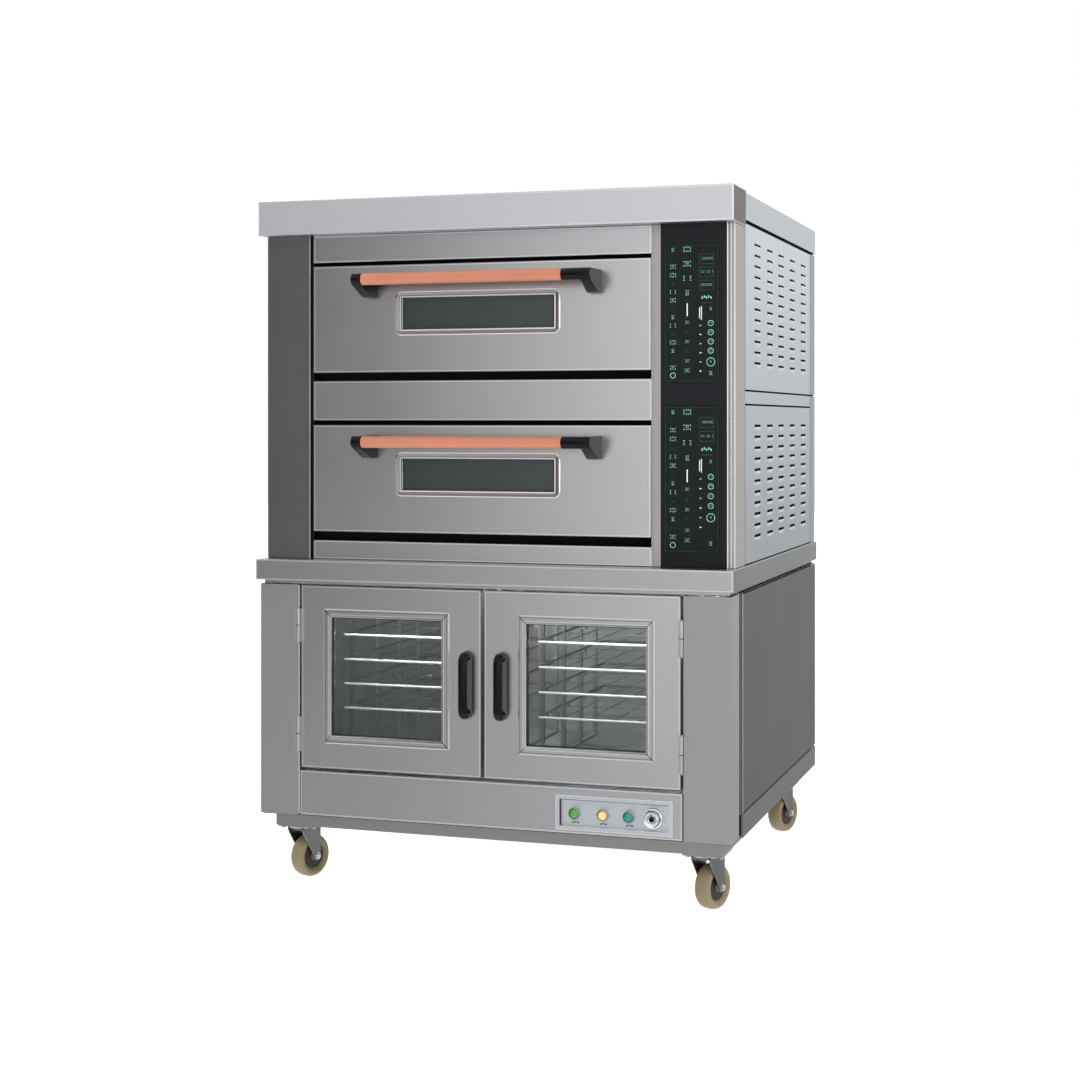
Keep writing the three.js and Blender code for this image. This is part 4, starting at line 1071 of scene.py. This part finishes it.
def build_hinges(side):
    sign = SIDES[side]
    body = f"proofer_{side}_door"
    x = HINGE_X[side]
    for index, (z0, z1) in enumerate(HINGE_SPANS):
        pin = Shape()
        for a, b in ((z0 - 3, z0), (z1, z1 + 3)):
            pin.lathe([(0, a), (4.2, a), (5, a + 0.8), (5, b - 0.8), (4.2, b), (0, b)], "z", x, HINGE_Y, 20)
        pin.finish(f"hinge_pin_{side}_{index}", "post", "stainless", body)
        leaf = Shape().box(x + sign * 5.4, x + sign * 11.9, -1.6, -0.1, z0 + 2, z1 - 2)
        leaf.finish(f"hinge_leaf_{side}_{index}", "post", "stainless", bevel=0.5)
        middle = (z0 + z1) / 2
        # a dark ring of painted shade in the split between the knuckles
        split = Shape().lathe(hoop(4.9, 5.2, middle - 0.9, middle + 0.9), "z", x, HINGE_Y, 20, True)
        split.finish(f"hinge_split_{side}_{index}", "gap_shade", BLACK, body)


for side in SIDES:
    build_hinges(side)


# --- inside the decks ---


HEARTH_X = (-460, 387)
HEARTH_Y = (92, 926)
CHAMBER_HEIGHT = 239


def build_deck(deck):
    lo, hi = mm_box(f"chamber_{deck}")
    floor = mm_box(f"{deck}_door_shell")[0].z + 14
    left, right, front, rear, top = lo.x + 3.4, hi.x - 3.4, lo.y + 6, hi.y - 3.4, floor + CHAMBER_HEIGHT
    liner = Shape()
    liner.box(left, right, front, rear, floor + 0.3, floor + 1.1)
    liner.box(left, right, front, rear, top - 0.8, top)
    walls = (left, left + 0.8, front), (right - 0.8, right, front), (left + 1, right - 1, rear - 0.8)
    for x0, x1, y in walls:
        liner.box(x0, x1, y, rear, floor + 1.3, top - 1)
    liner.finish(f"{deck}_chamber_liner", "liner", "liner")
    (x0, x1), (y0, y1) = HEARTH_X, HEARTH_Y
    stone = Shape()
    tiles = 3
    edges = [x0 + (x1 - x0) * i / tiles for i in range(tiles + 1)]
    for a, b in zip(edges, edges[1:]):
        stone.box(a + 1, b - 1, y0, y1, floor + 1.5, floor + 13)
    stone.finish(f"{deck}_hearth", "stone", "liner", bevel=1.5)
    elements = Shape()
    z, bend = floor + 222, x1 - 34
    for y in range(y0 + 70, y0 + 761, 138):
        path = [(x0 + 14, y), (bend, y), *arc(bend, y + 22, 22, -60, 90, 30)]
        path += [(bend, y + 44), (x0 + 14, y + 44)]
        elements.tube([(a, b, z) for a, b in path], 4.2, 10)
    elements.finish(f"{deck}_top_elements", "element", "zinc", angle=60)
    x, z = x1 - 60, floor + 190
    # the probe takes the highlight steel: painted highlight
    probe = Shape().tube([(x, y1 + 6, z), (x, y1 - 130, z)], 3.2, 12)
    probe.lathe([(0, y1 + 8), (12, y1 + 8), (12, y1 + 5), (7, y1 + 2), (0, y1 + 2)], "y", x, z, 24)
    probe.finish(f"{deck}_thermostat_probe", "highlight_steel", "stainless", angle=45)


for deck in DECKS:
    build_deck(deck)


# --- back and roof ---


GLAND = (-430, 940)
GLAND_CLEAR = 34  # half the opening that the covers leave round the gland
DECK_JOINT = 1225  # where the oven's two back covers meet
OVEN_COVER_X = 572
PROOFER_COVER_X = 598


def build_back():
    plates, screws = Shape(), Shape()
    y0, y1 = BACK + 0.1, BACK + 0.1 + SHEET
    seams = (OVEN_BOTTOM + 4, DECK_JOINT, mm_box("oven_back")[1].z - 4)
    low, middle, high = (seams[0] + 3, seams[1] - 3), seams[1] + 3, seams[2] - 3
    x, z = GLAND
    plates.box(-OVEN_COVER_X, x - GLAND_CLEAR, y0, y1, *low)
    plates.box(x + GLAND_CLEAR, OVEN_COVER_X, y0, y1, *low)
    for z0, z1 in ((z + GLAND_CLEAR, low[1]), (low[0], z - GLAND_CLEAR)):
        plates.box(x - GLAND_CLEAR + 0.4, x + GLAND_CLEAR - 0.4, y0, y1, z0, z1)
    plates.box(-OVEN_COVER_X, OVEN_COVER_X, y0, y1, middle, high)
    plates.finish("back_cover_oven", "side", "side_panel", bevel=0.5)
    nut = [(14.4, BACK + 6.2), (20, BACK + 6.2), (20, BACK + 12), (18.4, BACK + 14.2), (14.4, BACK + 14.2)]
    Shape().lathe(nut, "y", x, z, 6, True).finish("cable_gland_nut", "black", BLACK, bevel=0.8)
    cover = Shape().box(-PROOFER_COVER_X, PROOFER_COVER_X, y0, y1, walls_lo.z + 3, walls_hi.z - 4)
    cover.finish("back_cover_proofer", "proofer_side", "side_panel", bevel=0.5)
    rows = [z for a, b in zip(seams, seams[1:]) for z in (a + 18, b - 18)]
    heads = [(x, z) for x in (-556, -185, 185, 556) for z in rows]
    heads += [(x, z) for x in (-582, -194, 194, 582) for z in (walls_lo.z + 20, walls_hi.z - 20)]
    for x, z in heads:
        screws.screw("y", x, z, y1, 1)
    screws.finish("back_cover_screws", "screw", "zinc")


build_back()


def build_cap_shade():
    """Painted shade: black strips in the joints behind the cap's ends, and a dark line along its top edge."""
    lo, hi = mm_box("front_cornice")
    roof_lo, roof_hi = mm_box("roof_cover")
    dark_strips = Shape()
    for sign in (-1, 1):
        sides = sign * (roof_hi.x + 0.1), sign * (roof_hi.x + 0.5)
        dark_strips.box(*sides, hi.y + 0.4, hi.y + 6, roof_lo.z, roof_hi.z - 2)
    dark_strips.box(lo.x + 2, hi.x - 2, lo.y + 0.6, lo.y + 3, hi.z - 1.2, hi.z - 0.1)
    dark_strips.finish("cap_shade_strips", "gap_shade", "black_panel")


build_cap_shade()


# --- floor, light and camera ---

CAMERA_AT = (1.5349, FACE_Y - 4.2881, 1.1634)
CAMERA_YAW = radians(18.065)
LENS = 62.52
SHIFT_Y = -0.1090


def build_floor():
    half = FLOOR_SIZE / 2 / MM
    mesh = Shape().box(-half, half, -half, half, -20, 0).mesh("floor")
    nodes = principled(
        "pale_floor", Roughness=0.9, Specular_IOR_Level=0.1, Emission_Strength=FLOOR_GLOW
    )
    tint = nodes.mix(nodes.noise((2, 2, 2)), (0.88, 0.88, 0.88), (0.9, 0.9, 0.9))
    nodes.wire(Base_Color=tint, Emission_Color=tint)
    mesh.materials.append(MAT["pale_floor"])
    obj = link("floor", mesh)
    obj.visible_glossy = False


def area_light(name, place, target, size, power, glossy=False):
    light = bpy.data.lights.new(name, "AREA")
    light.shape = "RECTANGLE"
    light.size, light.size_y = size
    light.energy = power
    obj = link(name, light)
    obj.location = place
    obj.rotation_euler = (Vector(target) - Vector(place)).to_track_quat("-Z", "Y").to_euler()
    obj.visible_glossy = glossy
    obj.visible_camera = False


FLOOR_SIZE = 40.0  # metres
FLOOR_GLOW = 0.9
# levels round the room by share of a turn: 0 is -X, 0.25 the front, 0.5 +X and 0.75 behind
AROUND = (
    (0.0, 1.5), (0.035, 1.3), (0.06, 0.4), (0.1, 0.05), (0.182, 0.05), (0.214, 1.62), (0.25, 1.75),
    (0.3, 1.3), (0.36, 1.8), (0.46, 1.9), (0.52, 1.5), (0.6, 1.1), (0.68, 0.95), (0.72, 0.92),
    (0.78, 0.95), (0.86, 1.0), (0.93, 1.8), (1.0, 1.5),
)
# levels from straight down (0) to straight up (1)
UPWARD = (
    (0.0, 2.0), (0.2, 2.0), (0.36, 0.85), (0.45, 0.85), (0.55, 0.9), (0.62, 1.0), (0.7, 1.7), (1.0, 1.6),
)
# how far the room evens out round the turn, from down to up
EVENNESS = ((0.0, 1.0), (0.35, 1.0), (0.45, 0.3), (0.49, 0.0), (0.575, 0.0), (0.7, 1.0), (1.0, 1.0))
EVEN_LEVEL = 0.65
FULL_SCALE = 3.2  # a ramp holds levels up to this


def ramp(nodes, value, stops, scale=FULL_SCALE):
    node = nodes.add("ValToRGB", {"Fac": value})
    elements = node.color_ramp.elements
    while len(elements) < len(stops):
        elements.new(0.5)
    for element, (place, level) in zip(elements, stops):
        element.position = place
        element.color = (level / scale,) * 3 + (1,)
    return node.outputs["Color"]


def build_world():
    """White to the camera. As light it is a soft room, with a darker side in front on the left."""
    world = bpy.data.worlds.new("studio")
    scene.world = world
    world.use_nodes = True
    tree = world.node_tree
    tree.nodes.clear()
    nodes = Nodes(tree)
    direction = nodes.place("Generated")
    turn = nodes.add("TexGradient", {"Vector": direction}, gradient_type="RADIAL").outputs["Fac"]
    climb = nodes.spread(nodes.axis(direction, "Z"), 0.0, 1.0, (-1.0, 1.0))
    even = (EVEN_LEVEL / FULL_SCALE,) * 3
    faded = nodes.mix(ramp(nodes, climb, EVENNESS, 1.0), ramp(nodes, turn, AROUND), even)
    rise = ramp(nodes, climb, UPWARD)
    inputs = {"Factor": 1.0, 6: faded, 7: rise}
    product = nodes.add("Mix", inputs, data_type="RGBA", blend_type="MULTIPLY")
    lit = nodes.add("Background", {"Color": product.outputs[2], "Strength": FULL_SCALE**2})
    white = nodes.add("Background", {"Color": (1, 1, 1, 1)})
    seen = nodes.add("LightPath").outputs["Is Camera Ray"]
    both = nodes.add("MixShader", {0: seen, 1: lit.outputs[0], 2: white.outputs[0]})
    nodes.add("OutputWorld", {"Surface": both.outputs[0]})


build_floor()
build_world()
area_light("overhead", (0.2, -0.6, 4.2), (0, 0, 0.8), (3.5, 3.0), 50)
area_light("key_left", (-2.6, -3.4, 3.2), (0, -0.4, 0.9), (1.8, 1.8), 30)
for middle in (-265, 265):
    x = middle * MM
    place, target = (x, FACE_Y + 0.09, 0.735), (x, FACE_Y + 0.45, 0.4)
    area_light(f"proofer_lamp_{middle}", place, target, (0.34, 0.05), 1.6, glossy=True)
area_light("edge_right", (4.2, -0.9, 1.8), (0, -0.4, 0.9), (1.2, 2.6), 30, glossy=True)

lens = bpy.data.cameras.new("camera")
lens.sensor_width = 36.0
lens.lens = LENS
lens.shift_y = SHIFT_Y
camera = link("camera", lens)
camera.location = CAMERA_AT
camera.rotation_euler = (radians(90), 0, CAMERA_YAW)
scene.camera = camera
scene.view_settings.view_transform = "Standard"
